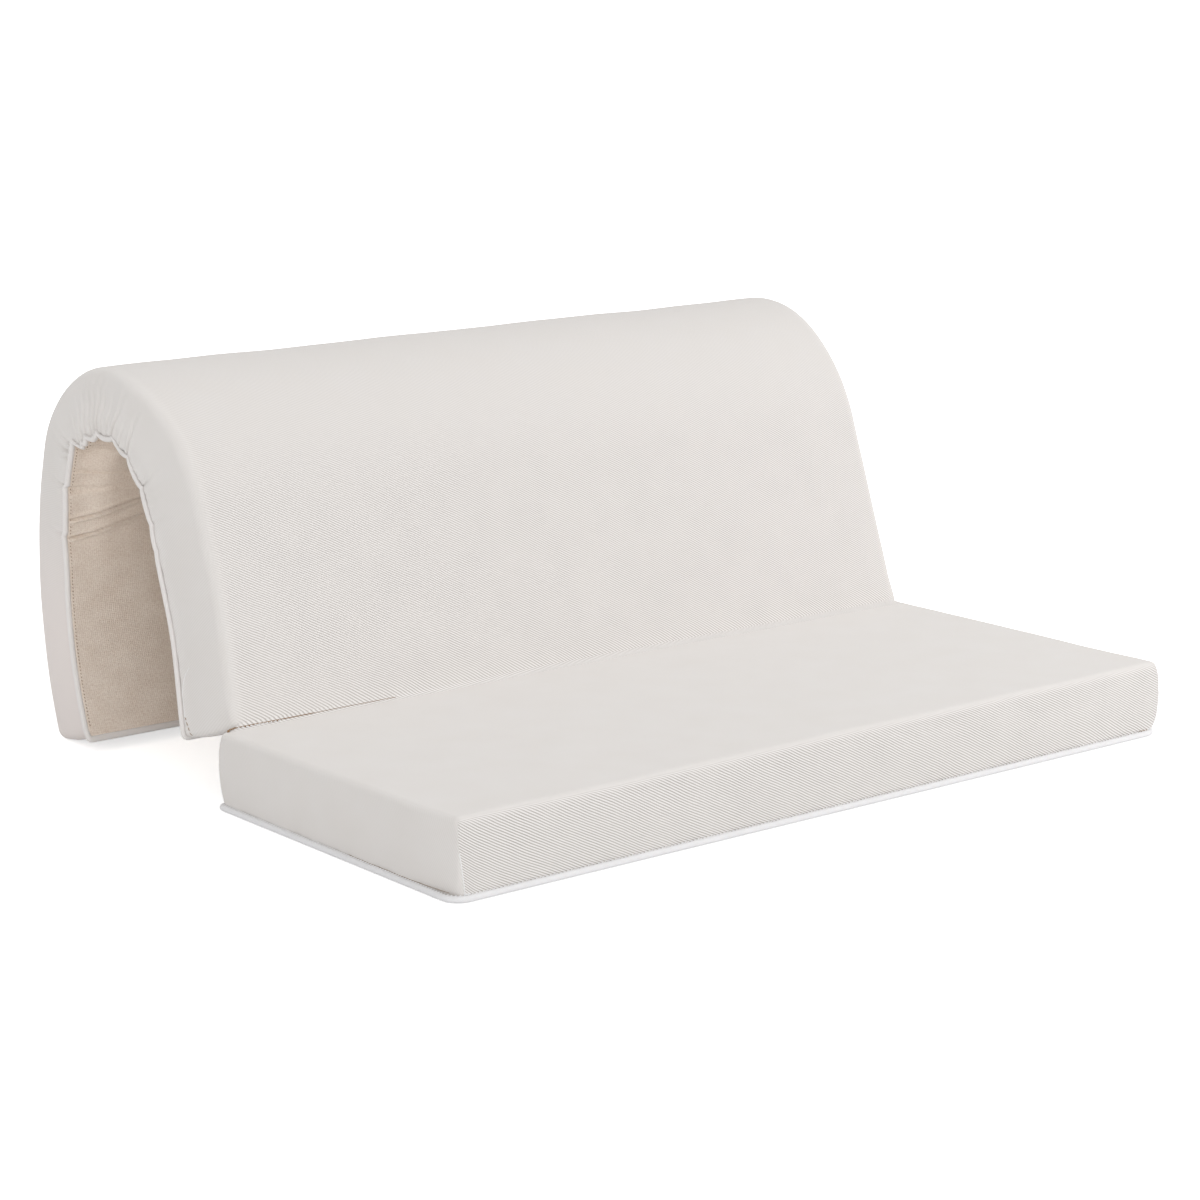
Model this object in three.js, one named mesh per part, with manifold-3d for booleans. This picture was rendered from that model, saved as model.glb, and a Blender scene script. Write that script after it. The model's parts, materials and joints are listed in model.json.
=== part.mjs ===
// A sofa-bed mattress of two cushions joined by a fold: a flat seat, and a long back
// that rises behind it, bends over the sofa's backrest and comes down to the floor.
// Each cushion is a foam core in a stretch-knit cover, with a felt underside and a
// piping sewn round the seam between knit and felt.
// Millimetres. X runs along the width, Y towards the rear, Z up. The origin is the
// middle of the seat's underside.

import * as THREE from "three";
import { mergeVertices } from "three/addons/utils/BufferGeometryUtils.js";
import Module from "manifold-3d";

const wasm = await Module();
wasm.setup();

// Overall sizes, over the piping
const mattressWidth = 1400;
const seatDepth = 600;

// Layers of both cushions, from the underside up
const feltThickness = 3;
const foamThickness = 112;
const knitThickness = 4;
const clearance = 0.3;

// Cushion form
const edgeRadius = 15; // round of the knit over the foam's top edges
const foldEdgeRadius = 6; // tighter round of the two edges that meet at the fold
const cornerRadius = 20; // plan corner of the piping
const sideBulge = 3.5; // swell of a side face at half its height
const seatTopInset = 6; // piping's outer line to the side face at the top
const backTopInset = 22;
const foldTopInset = 1; // the same at the back's foot, where it meets the seat
const seatCrown = 3;

// Piping
const pipingDiameter = 9.5;
const pipingProud = 7;
const pipingGap = 0.5;

// Course of the back's outer face, as seen from the side
const foldSetback = 10.8; // seat piping's rear line to the foot of the back
const foldDrop = 1.8; // seat's top to the foot of the back
const backTilt = THREE.MathUtils.degToRad(19.2); // lean of the front panel from upright
const straightLength = 336;
const frontArcRadius = 305;
const frontArcAngle = THREE.MathUtils.degToRad(34);
const crownArcRadius = 211;
const crownArcAngle = THREE.MathUtils.degToRad(110);
const rearArcRadius = 752;
const footPress = 0.5; // depth to which the floor flattens the rear foot
const footSlant = 18; // how much further the felt side reaches at the rear foot

// Gathering of the inner edge: the felt side draws in from the ends as the back bends
const gatherDepth = 20;
const gatherStart = 150;
const gatherLength = 400;

// Bending: the back flexes at evenly turning places along its length
const bendCount = 9;
const bendGap = 0.6;

// Tape sewn behind the fold
const tapeThickness = 1.2;
const tapeHeight = 22;
const tapeEndInset = 30;

// Fineness of the curved forms
const roundSteps = 4;
const crownSteps = 3;
const seatSteps = 4;
const facetsPerBend = 3;
const straightSteps = 4;
const settlingPasses = 6;
const beadSteps = 8;
const overrun = 20;

const thickness = feltThickness + foamThickness + knitThickness;
const halfWidth = mattressWidth / 2;
const seamHeight = feltThickness + clearance;

const materials = {
  foam: new THREE.MeshStandardMaterial({ color: 0xe9dcb4, roughness: 0.95, metalness: 0 }),
  knit: new THREE.MeshStandardMaterial({ color: 0xe4dfdb, roughness: 0.9, metalness: 0 }),
  felt: new THREE.MeshStandardMaterial({ color: 0xb9a898, roughness: 1, metalness: 0 }),
  piping: new THREE.MeshStandardMaterial({ color: 0xf4f4f5, roughness: 0.7, metalness: 0 }),
  tape: new THREE.MeshStandardMaterial({ color: 0x9c8a78, roughness: 0.9, metalness: 0 }),
};

// The back's course
// A heading is the angle from upright, leaning to the rear. The course is a straight
// and three arcs, of which the last runs down to the floor.

const crownStart = backTilt + frontArcAngle;
const crownEnd = crownStart + crownArcAngle;
const foldLine = { y: seatDepth / 2 - foldSetback, z: thickness - foldDrop };
const course = { stretches: [], length: 0 };

function layCourse(endHeading) {
  const arcs = [
    [frontArcRadius, backTilt, crownStart],
    [crownArcRadius, crownStart, crownEnd],
    [rearArcRadius, crownEnd, endHeading],
  ];
  course.stretches = [
    { length: straightLength, heading: backTilt, turn: 0 },
    ...arcs.map(([radius, heading, end]) => ({
      length: radius * (end - heading),
      heading,
      turn: end - heading,
    })),
  ];
  course.length = course.stretches.reduce((sum, stretch) => sum + stretch.length, 0);
}

// Point and heading of the outer face at a distance along it from the fold.
function courseAt(distance) {
  let { y, z } = foldLine;
  let left = distance;
  for (const [order, { length, heading, turn }] of course.stretches.entries()) {
    const last = order === course.stretches.length - 1;
    const along = left < 0 && order === 0 ? left : Math.min(left, length);
    const swept = turn === 0 ? 0 : (along / length) * turn;
    const radius = turn === 0 ? 0 : length / turn;
    if (turn === 0) {
      y += along * Math.sin(heading);
      z += along * Math.cos(heading);
    } else {
      y += radius * (Math.cos(heading) - Math.cos(heading + swept));
      z += radius * (Math.sin(heading + swept) - Math.sin(heading));
    }
    left -= along;
    if (left <= 0 || last) {
      const end = heading + swept;
      return { y: y + left * Math.sin(end), z: z + left * Math.cos(end), heading: end };
    }
  }
}

function distanceAtHeading(heading) {
  let distance = 0;
  for (const { length, heading: from, turn } of course.stretches) {
    if (turn > 0 && heading <= from + turn) {
      return distance + ((heading - from) / turn) * length;
    }
    distance += length;
  }
  return distance;
}

// Layouts
// Every cushion is first laid out flat, with x across, s along and u up from the felt
// side, and then placed: the seat where it lies, the back bent along its course.

function placeOnSeat(x, s, u) {
  return new THREE.Vector3(x, s - seatDepth / 2, u);
}

function placeOnBack(x, s, u) {
  const depth = thickness - u;
  const slant = footSlant * smoothRamp(s, course.length - thickness, thickness);
  const gather = gatherDepth * smoothRamp(s, gatherStart, gatherLength) * (depth / thickness);
  const { y, z, heading } = courseAt(s + slant * (depth / thickness));
  return new THREE.Vector3(
    x - Math.sign(x) * gather,
    y + depth * Math.cos(heading),
    z - depth * Math.sin(heading),
  );
}

function smoothRamp(value, start, length) {
  return THREE.MathUtils.smoothstep(value, start, start + length);
}

// Solids

// Joins rings of points into one closed skin. An open row of rings gets a cap at each
// end, whose rungs join the points that face each other across the ring.
function skin(rings, isLoop = false) {
  const count = rings[0].length;
  const index = [];
  const spans = isLoop ? rings.length : rings.length - 1;
  for (let ring = 0; ring < spans; ring += 1) {
    const here = ring * count;
    const next = ((ring + 1) % rings.length) * count;
    for (let i = 0; i < count; i += 1) {
      const j = (i + 1) % count;
      index.push(here + i, next + i, here + j, here + j, next + i, next + j);
    }
  }
  if (!isLoop) {
    const end = (rings.length - 1) * count;
    for (let i = 0; i < Math.floor((count - 1) / 2); i += 1) {
      const j = count - 1 - i;
      const rung = [i, i + 1, j - 1, i, j - 1, j];
      for (let corner = 0; corner < rung.length; corner += 3) {
        const [a, b, c] = rung.slice(corner, corner + 3);
        if (b === c) continue;
        index.push(a, b, c, end + a, end + c, end + b);
      }
    }
  }
  const positions = new Float32Array(rings.flat().flatMap((point) => point.toArray()));
  const geometry = new THREE.BufferGeometry();
  geometry.setAttribute("position", new THREE.BufferAttribute(positions, 3));
  geometry.setIndex(index);
  return geometry;
}

function toSolid(geometry) {
  const bare = geometry.clone();
  bare.deleteAttribute("normal");
  bare.deleteAttribute("uv");
  const merged = mergeVertices(bare);
  return new wasm.Manifold(
    new wasm.Mesh({
      numProp: 3,
      vertProperties: merged.attributes.position.array,
      triVerts: new Uint32Array(merged.index.array),
    }),
  );
}

function toGeometry(solid) {
  const mesh = solid.getMesh();
  const geometry = new THREE.BufferGeometry();
  geometry.setAttribute("position", new THREE.BufferAttribute(mesh.vertProperties, 3));
  geometry.setIndex(new THREE.BufferAttribute(mesh.triVerts, 1));
  geometry.computeVertexNormals();
  return geometry;
}

// Half of a cushion's cross-section, from the bottom edge up and in to the middle of the
// top, drawn in by a skin's depth. The other half mirrors it.
function crossSection({ topInset, skinDepth, base }) {
  const bottomHalf = halfWidth - pipingProud - skinDepth;
  const topHalf = halfWidth - topInset - skinDepth;
  const top = thickness - skinDepth;
  const radius = edgeRadius - skinDepth;
  const half = [
    [bottomHalf, base],
    [bottomHalf, pipingDiameter],
    [(bottomHalf + topHalf) / 2 + sideBulge, (pipingDiameter + top) / 2],
  ];
  for (let step = 0; step <= roundSteps; step += 1) {
    const angle = (step / roundSteps) * (Math.PI / 2);
    half.push([
      topHalf - radius * (1 - Math.cos(angle)),
      top - radius * (1 - Math.sin(angle)),
    ]);
  }
  const flatHalf = topHalf - radius;
  for (let step = 1; step <= crownSteps; step += 1) {
    half.push([flatHalf * (1 - step / crownSteps), top]);
  }
  const mirrored = half.slice(0, -1).reverse().map(([x, u]) => [-x, u]);
  return [...half, ...mirrored];
}

// Depth by which a quarter round has dropped at a distance in from its end.
function roundDrop(radius, distance) {
  if (distance >= radius) return 0;
  return radius - Math.sqrt(radius ** 2 - (radius - distance) ** 2);
}

// One layer of a cushion between two distances along it. An end with a box face is
// rounded over, swells like the sides and has round corners; any other end is cut flat.
function cushionBody({ stations, ends, topInset, skinDepth, base, crown, place }) {
  const section = crossSection({ topInset, skinDepth, base });
  const top = thickness - skinDepth;
  const faces = ends.map((end) => ({
    ...end,
    radius: end.edge - skinDepth,
    corner: cornerRadius - pipingProud - skinDepth,
    face: end.at + end.inward * (pipingProud + skinDepth),
  }));
  const marks = new Set(stations);
  for (const { face, inward, radius } of faces) {
    for (const mark of [...marks]) {
      if ((mark - face) * inward < radius) marks.delete(mark);
    }
    for (let step = 0; step <= roundSteps; step += 1) {
      const angle = (step / roundSteps) * (Math.PI / 2);
      marks.add(face + inward * radius * (1 - Math.cos(angle)));
    }
  }
  const first = Math.min(...marks);
  const length = Math.max(...marks) - first;
  const rings = [...marks]
    .sort((a, b) => a - b)
    .map((mark) => {
      const drops = faces.map((end) => roundDrop(end.radius, (mark - end.face) * end.inward));
      const corners = faces.map((end) => roundDrop(end.corner, (mark - end.face) * end.inward));
      const height = top - Math.max(0, ...drops) - base;
      const narrowing = Math.max(0, ...corners);
      return section.map(([x, u]) => {
        const across = x - Math.sign(x) * Math.min(narrowing, Math.abs(x));
        const share = (u - base) / (top - base);
        const rise = crown * (1 - (x / halfWidth) ** 2) * (1 - ((2 * (mark - first)) / length - 1) ** 2);
        const level = base + share * height + (u > pipingDiameter ? share ** 2 * rise : 0);
        return place(across, mark + endSwell(faces, mark, level), level);
      });
    });
  return skin(rings);
}

// How far a box face stands out from its seam at a height, easing to nothing where the
// round of its edge ends.
function endSwell(faces, mark, level) {
  const share = THREE.MathUtils.clamp((level - pipingDiameter) / (thickness - pipingDiameter), 0, 1);
  let shift = 0;
  for (const { face, inward, radius, topInset } of faces) {
    const depth = THREE.MathUtils.clamp(1 - ((mark - face) * inward) / radius, 0, 1);
    const swell = (pipingProud - topInset) * share + 4 * sideBulge * share * (1 - share);
    shift -= inward * depth * swell;
  }
  return shift;
}

function feltBody({ stations, ends, place }) {
  const half = halfWidth - pipingProud;
  const corner = cornerRadius - pipingProud;
  const marks = new Set(stations);
  for (const { at, inward } of ends) {
    const face = at + inward * pipingProud;
    for (const mark of [...marks]) {
      if ((mark - face) * inward < corner) marks.delete(mark);
    }
    for (let step = 0; step <= roundSteps; step += 1) {
      const angle = (step / roundSteps) * (Math.PI / 2);
      marks.add(face + inward * corner * (1 - Math.cos(angle)));
    }
  }
  const rings = [...marks]
    .sort((a, b) => a - b)
    .map((mark) => {
      const corners = ends.map(({ at, inward }) =>
        roundDrop(corner, (mark - at) * inward - pipingProud),
      );
      const reach = half - Math.max(0, ...corners);
      return [
        [reach, 0],
        [reach, feltThickness],
        [-reach, feltThickness],
        [-reach, 0],
      ].map(([x, u]) => place(x, mark, u));
    });
  return skin(rings);
}

// The piping bead: a round cord cut flat where it lies against the knit. Its outline
// points carry the direction that faces out from the cushion.
function pipingBody(outline, place, isLoop = false) {
  const radius = pipingDiameter / 2;
  const flat = pipingProud - pipingGap;
  const reach = Math.acos((radius - flat) / radius);
  const bead = [];
  for (let step = 0; step <= beadSteps; step += 1) {
    const angle = (2 * step / beadSteps - 1) * reach;
    bead.push([radius * Math.cos(angle) - radius, radius + radius * Math.sin(angle)]);
  }
  const rings = outline.map(({ x, s, outX, outS }) =>
    bead.map(([out, u]) => place(x + outX * out, s + outS * out, u)),
  );
  return skin(rings, isLoop);
}

function evenStations(from, to, steps) {
  return Array.from({ length: steps + 1 }, (_, step) => from + ((to - from) * step) / steps);
}

function sideOutline(side, stations) {
  const marks = side > 0 ? stations : [...stations].reverse();
  return marks.map((s) => ({ x: side * halfWidth, s, outX: side, outS: 0 }));
}

// Quarter turn of the outline at a corner, starting from the outward angle given.
function cornerOutline(centreX, centreS, startAngle) {
  const points = [];
  for (let step = 0; step <= roundSteps; step += 1) {
    const angle = startAngle + (step / roundSteps) * (Math.PI / 2);
    const outX = Math.cos(angle);
    const outS = Math.sin(angle);
    points.push({
      x: centreX + cornerRadius * outX,
      s: centreS + cornerRadius * outS,
      outX,
      outS,
    });
  }
  return points;
}

function nearFootOutline(stations) {
  const centreX = halfWidth - cornerRadius;
  const sides = stations.filter((s) => s > cornerRadius);
  return [
    ...sideOutline(-1, sides),
    ...cornerOutline(-centreX, cornerRadius, Math.PI),
    ...cornerOutline(centreX, cornerRadius, -Math.PI / 2),
    ...sideOutline(1, sides),
  ];
}

function farFootOutline(stations, end) {
  const centreX = halfWidth - cornerRadius;
  const sides = stations.filter((s) => s < end - cornerRadius);
  return [
    ...sideOutline(1, sides),
    ...cornerOutline(centreX, end - cornerRadius, 0),
    ...cornerOutline(-centreX, end - cornerRadius, Math.PI / 2),
    ...sideOutline(-1, sides),
  ];
}

const mattress = new THREE.Group();
mattress.name = "sofa_bed_mattress";

function addPiece(name, geometry, material) {
  if (!geometry.attributes.normal) geometry.computeVertexNormals();
  const mesh = new THREE.Mesh(geometry, material);
  mesh.name = name;
  mattress.add(mesh);
}

// Foam, knit and felt of one cushion or one stretch of it
function addLayers(name, shape) {
  const { stations, ends, topInset, crown, place, floorCut } = shape;
  const foam = cushionBody({
    ...shape,
    skinDepth: knitThickness + clearance,
    base: seamHeight,
  });
  const outside = toSolid(cushionBody({ ...shape, skinDepth: 0, base: seamHeight }));
  const open = [...stations];
  if (!ends.some((end) => end.inward > 0)) open.unshift(stations[0] - overrun);
  if (!ends.some((end) => end.inward < 0)) open.push(stations[stations.length - 1] + overrun);
  const inside = toSolid(
    cushionBody({
      stations: open,
      ends,
      topInset,
      crown,
      place,
      skinDepth: knitThickness,
      base: -overrun,
    }),
  );
  let knit = outside.subtract(inside);
  if (floorCut) knit = knit.subtract(toSolid(floorCut));
  addPiece(`${name}_foam`, foam, materials.foam);
  addPiece(`${name}_knit_cover`, toGeometry(knit), materials.knit);
  addPiece(`${name}_felt`, feltBody({ stations, ends, place }), materials.felt);
}

// Seat cushion: boxed all round, with its piping in one ring
addLayers("seat", {
  stations: evenStations(0, seatDepth, seatSteps),
  ends: [
    { at: 0, inward: 1, edge: edgeRadius, topInset: seatTopInset },
    { at: seatDepth, inward: -1, edge: foldEdgeRadius, topInset: seatTopInset },
  ],
  topInset: seatTopInset,
  crown: seatCrown,
  place: placeOnSeat,
});
const seatCentreX = halfWidth - cornerRadius;
const seatRing = [
  ...cornerOutline(-seatCentreX, cornerRadius, Math.PI),
  ...cornerOutline(seatCentreX, cornerRadius, -Math.PI / 2),
  ...cornerOutline(seatCentreX, seatDepth - cornerRadius, 0),
  ...cornerOutline(-seatCentreX, seatDepth - cornerRadius, Math.PI / 2),
];
addPiece("seat_piping", pipingBody(seatRing, placeOnSeat, true), materials.piping);

// Tape behind the fold: it stands against the seat's rear face and reaches up to the
// foot of the back
const tape = new THREE.BoxGeometry(
  mattressWidth - 2 * tapeEndInset,
  tapeThickness,
  tapeHeight,
);
const tapeRear = seatDepth / 2 - pipingProud + sideBulge + clearance + tapeThickness;
const tapeTop = foldLine.z - (tapeRear - foldLine.y) * Math.tan(backTilt) - clearance;
tape.translate(0, tapeRear - tapeThickness / 2, tapeTop - tapeHeight / 2);
addPiece("fold_seam_tape", tape, materials.tape);

// Back cushion: the course is settled first, so that the floor presses the rear foot by
// the depth named. Then come a front panel, the bends and a rear panel, parted where
// the back flexes.
const backShape = { topInset: backTopInset, crown: 0, place: placeOnBack };
const footEnd = { inward: -1, edge: edgeRadius, topInset: seatTopInset };
let endHeading = Math.PI;
for (let pass = 0; pass < settlingPasses; pass += 1) {
  layCourse(endHeading);
  const foot = cushionBody({
    ...backShape,
    stations: evenStations(course.length - 2 * thickness, course.length, facetsPerBend),
    ends: [{ ...footEnd, at: course.length }],
    skinDepth: 0,
    base: seamHeight,
  });
  foot.computeBoundingBox();
  const tooHigh = foot.boundingBox.min.z + footPress;
  endHeading -= tooHigh / (rearArcRadius * Math.cos(endHeading));
}

const bendTurn = (endHeading - backTilt) / bendCount;
const bendPlaces = Array.from({ length: bendCount }, (_, order) =>
  distanceAtHeading(backTilt + (order + 0.5) * bendTurn),
);
const frontPanelEnd = bendPlaces[0] - bendGap / 2;
const frontStations = [
  ...evenStations(0, straightLength, straightSteps),
  ...evenStations(straightLength, frontPanelEnd, facetsPerBend - 1).slice(1),
];
addLayers("front_panel", {
  ...backShape,
  stations: frontStations,
  ends: [{ at: 0, inward: 1, edge: foldEdgeRadius, topInset: foldTopInset }],
});
addPiece(
  "front_panel_piping",
  pipingBody(nearFootOutline(frontStations), placeOnBack),
  materials.piping,
);

for (let order = 1; order < bendCount; order += 1) {
  const stations = evenStations(
    bendPlaces[order - 1] + bendGap / 2,
    bendPlaces[order] - bendGap / 2,
    facetsPerBend,
  );
  const name = `bend_${order}`;
  addLayers(name, { ...backShape, stations, ends: [] });
  for (const [word, side] of [
    ["left", -1],
    ["right", 1],
  ]) {
    const bead = pipingBody(sideOutline(side, stations), placeOnBack);
    addPiece(`${name}_piping_${word}`, bead, materials.piping);
  }
}

const rearPanelStart = bendPlaces[bendCount - 1] + bendGap / 2;
const rearStations = evenStations(rearPanelStart, course.length, facetsPerBend);
const floorCut = new THREE.BoxGeometry(mattressWidth, 2 * thickness, overrun);
floorCut.translate(0, courseAt(course.length).y, -overrun / 2);
addLayers("rear_panel", {
  ...backShape,
  stations: rearStations,
  ends: [{ ...footEnd, at: course.length }],
  floorCut,
});
addPiece(
  "rear_panel_piping",
  pipingBody(farFootOutline(rearStations, course.length), placeOnBack),
  materials.piping,
);

export default mattress;
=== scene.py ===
import json
import math

import bmesh
import bpy
import numpy as np
from mathutils import Matrix, Vector


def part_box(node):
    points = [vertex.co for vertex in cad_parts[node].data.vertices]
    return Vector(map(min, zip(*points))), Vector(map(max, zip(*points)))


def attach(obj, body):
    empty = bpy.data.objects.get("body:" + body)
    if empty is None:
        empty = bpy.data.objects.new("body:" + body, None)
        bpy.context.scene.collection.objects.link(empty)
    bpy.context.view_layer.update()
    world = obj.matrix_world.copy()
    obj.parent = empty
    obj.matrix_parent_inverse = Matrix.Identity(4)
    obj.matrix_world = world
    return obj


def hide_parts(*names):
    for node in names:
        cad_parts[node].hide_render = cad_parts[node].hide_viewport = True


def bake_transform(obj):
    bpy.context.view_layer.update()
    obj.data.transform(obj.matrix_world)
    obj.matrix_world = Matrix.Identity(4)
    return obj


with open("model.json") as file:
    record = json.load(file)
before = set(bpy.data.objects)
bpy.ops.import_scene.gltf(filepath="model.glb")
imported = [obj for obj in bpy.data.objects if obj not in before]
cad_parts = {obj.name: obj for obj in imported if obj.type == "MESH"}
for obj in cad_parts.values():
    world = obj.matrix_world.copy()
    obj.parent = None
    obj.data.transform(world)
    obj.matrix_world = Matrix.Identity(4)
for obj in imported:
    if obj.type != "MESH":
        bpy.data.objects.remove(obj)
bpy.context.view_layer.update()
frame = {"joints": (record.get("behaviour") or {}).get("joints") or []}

# Camera
# It stands at the front left of the mattress, a little above it, as the photograph was
# taken: a long lens, level to within half a degree.
CAMERA_PLACE = (-2.9974, -3.5246, 1.2904)
CAMERA_HEADING = math.radians(-38.334)
CAMERA_TILT = math.radians(90 - 12.439)
CAMERA_ROLL = math.radians(-0.393)
CAMERA_LENS = 93.16
FAR_CLIP = 200

camera = bpy.data.objects.new("camera", bpy.data.cameras.new("camera"))
camera.data.sensor_width = 36
camera.data.lens = CAMERA_LENS
camera.data.clip_end = FAR_CLIP
camera.matrix_world = (
    Matrix.Translation(CAMERA_PLACE)
    @ Matrix.Rotation(CAMERA_HEADING, 4, "Z")
    @ Matrix.Rotation(CAMERA_TILT, 4, "X")
    @ Matrix.Rotation(CAMERA_ROLL, 4, "Z")
)
bpy.context.scene.collection.objects.link(camera)
bpy.context.scene.camera = camera
bpy.context.scene.view_settings.view_transform = "Standard"


# Studio
# A white floor that runs out of sight, an even white sky, a broad soft light from above,
# a fill from the front left and a panel at the right. Sky and floor look near white.
class Flow:
    """A value on its way through a material's nodes. Sums on it add Math nodes."""

    def __init__(self, finish, socket):
        self.finish = finish
        self.socket = socket

    def math(self, operation, *others):
        """One Math node on this value and the others."""
        return self.finish.node("Math", {"operation": operation}, dict(enumerate((self, *others))))

    def __add__(self, other):
        return self.math("ADD", other)

    def __sub__(self, other):
        return self.math("SUBTRACT", other)

    def __rsub__(self, other):
        return self.finish.node("Math", {"operation": "SUBTRACT"}, {0: other, 1: self})

    def __mul__(self, other):
        return self.math("MULTIPLY", other)

    def __pow__(self, other):
        return self.math("POWER", other)

    __radd__ = __add__
    __rmul__ = __mul__


class Finish:
    """The nodes of one material, or of the sky."""

    def __init__(self, owner):
        self.owner = owner
        owner.use_nodes = True
        self.tree = owner.node_tree

    def node(self, kind, settings, values, output=0):
        """Any node, from its type, its settings and its sockets' values or links."""
        made = self.tree.nodes.new("ShaderNode" + kind)
        for name, setting in settings.items():
            setattr(made, name, setting)
        for place, value in values.items():
            if isinstance(value, Flow):
                self.tree.links.new(value.socket, made.inputs[place])
            else:
                made.inputs[place].default_value = value
        return Flow(self, made.outputs[output])

    def join(self, flow, kind, place):
        """Feeds a value to a socket of the node of a kind that is there already."""
        shader = next(node for node in self.tree.nodes if node.type == kind)
        self.tree.links.new(flow.socket, shader.inputs[place])

    def seen(self):
        """1 for what the camera sees itself, in a gloss or through glass, otherwise 0."""
        rays = [
            self.node("LightPath", {}, {}, output)
            for output in ("Is Camera Ray", "Is Glossy Ray", "Is Transmission Ray")
        ]
        return (rays[0] + rays[1] + rays[2]).math("MINIMUM", 1)


SKY_LIGHT = 0.66
# Strength, softness in degrees and where the light comes from.
LAMPS = {
    "key": (0.79, 60, (0.3, -0.3, 0.9)),
    "fill": (0.68, 40, (-0.55, -0.8, 0.22)),
}
# A broad soft panel at the right, for the photograph's right side is the lighter one.
PANEL_PLACE = (1.7, -1.1, 1.0)
PANEL_AIM = (0.2, 0.2, 0.3)
PANEL_POWER = 5
PANEL_SIZE = 0.9
FLOOR_COLOUR = (0.9, 0.9, 0.9, 1)
FLOOR_LIFT = 0.62
FLOOR_HALF = 80
FLOOR_GAP = 0.0005

world = bpy.data.worlds.new("sky")
bpy.context.scene.world = world
sky = Finish(world)
sky_white = sky.node("Background", {}, {"Color": (1, 1, 1, 1), "Strength": 1})
sky_lamp = sky.node("Background", {}, {"Color": (1, 1, 1, 1), "Strength": SKY_LIGHT})
sky.join(sky.node("MixShader", {}, {0: sky.seen(), 1: sky_lamp, 2: sky_white}), "OUTPUT_WORLD", 0)

for name, (strength, softness, source) in LAMPS.items():
    lamp = bpy.data.objects.new(name, bpy.data.lights.new(name, "SUN"))
    lamp.data.energy = strength
    lamp.data.angle = math.radians(softness)
    lamp.rotation_mode = "QUATERNION"
    lamp.rotation_quaternion = Vector(source).to_track_quat("Z", "Y")
    bpy.context.scene.collection.objects.link(lamp)

panel = bpy.data.objects.new("panel", bpy.data.lights.new("panel", "AREA"))
panel.data.energy = PANEL_POWER
panel.data.size = PANEL_SIZE
panel.visible_camera = False
panel.rotation_mode = "QUATERNION"
panel.rotation_quaternion = (Vector(PANEL_PLACE) - Vector(PANEL_AIM)).to_track_quat("Z", "Y")
panel.location = PANEL_PLACE
bpy.context.scene.collection.objects.link(panel)


def add_piece(name, mesh, finish):
    """Turns a finished bmesh into an object at the origin."""
    data = bpy.data.meshes.new(name)
    mesh.to_mesh(data)
    mesh.free()
    data.materials.append(finish.owner)
    piece = bpy.data.objects.new(name, data)
    bpy.context.scene.collection.objects.link(piece)
    return piece


floor_finish = Finish(bpy.data.materials.new("floor"))
floor_shade = floor_finish.node("BsdfDiffuse", {}, {"Color": FLOOR_COLOUR})
floor_glow = floor_finish.node(
    "Emission", {}, {"Color": (1, 1, 1, 1), "Strength": floor_finish.seen() * FLOOR_LIFT}
)
floor_finish.join(
    floor_finish.node("AddShader", {}, {0: floor_shade, 1: floor_glow}), "OUTPUT_MATERIAL", 0
)
floor_mesh = bmesh.new()
bmesh.ops.create_grid(floor_mesh, x_segments=1, y_segments=1, size=FLOOR_HALF)
floor = add_piece("floor", floor_mesh, floor_finish)
floor.data.transform(Matrix.Translation((0, 0, -FLOOR_GAP)))


# Seat foam core
# One slab of flexible polyurethane foam, cut square and rounded along its top edges. It
# lies loose in the cover, a few millimetres smaller all round.
HALF_WIDTH = 0.7
SEAT_DEPTH = 0.6
THICKNESS = 0.119
PIPING_WIDTH = 0.0095
PIPING_PROUD = 0.007
# Half the knit's width: the piping stands proud of it.
KNIT_HALF = HALF_WIDTH - PIPING_PROUD
FELT_THICKNESS = 0.003
KNIT_THICKNESS = 0.003
SEAM_HEIGHT = 0.0033
EDGE_RADIUS = 0.015
SEAT_EDGE_RADIUS = 0.010
FOLD_EDGE_RADIUS = 0.006
FOLD_CORNER_RADIUS = 0.008
SIDE_BULGE = 0.0035
SEAT_TOP_INSET = 0.006
SEAT_CROWN = 0.003
# How far along the cushion its end's lean reaches.
END_REACH = 0.03
FOAM_EASE = 0.0075
FOAM_OVER_FELT = 0.001
FOAM_LOFT = 0.002
FOAM_ROUND_STEPS = 4
FOAM_STEP_ACROSS = 0.05
FOAM_STEP_UP = 0.03
SEAT_FOAM_STEP = 0.05
FOAM_CREAM = (0.78, 0.69, 0.46, 1)
FOAM_SHADE = (0.66, 0.56, 0.34, 1)
# Points nearer than this are at the same place.
SAME_PLACE = 1e-5
# How far the front corners are drawn in, all the way up and more at the foot.
CORNER_PULL_ACROSS = 0.045
CORNER_PULL_ALONG = 0.12
LEFT_CORNER_PULL = 0.0078
LEFT_FOOT_PULL = 0.0017
RIGHT_FOOT_PULL = 0.002
FOOT_PULL_HEIGHTS = (0.005, 0.105)


def even(low, high, step):
    """Places from low to high at about one step from each other."""
    return np.linspace(low, high, max(1, round((high - low) / step)) + 1)


def smooth(values, low, high):
    """0 before low, 1 after high and an S-curve between them."""
    share = np.clip((values - low) / (high - low), 0, 1)
    return share * share * (3 - 2 * share)


def reshape(mesh, shaping):
    """Moves every point of a mesh to where the shaping puts it."""
    points = np.array([vert.co for vert in mesh.verts])
    for vert, place in zip(mesh.verts, shaping(points)):
        vert.co = place


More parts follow.
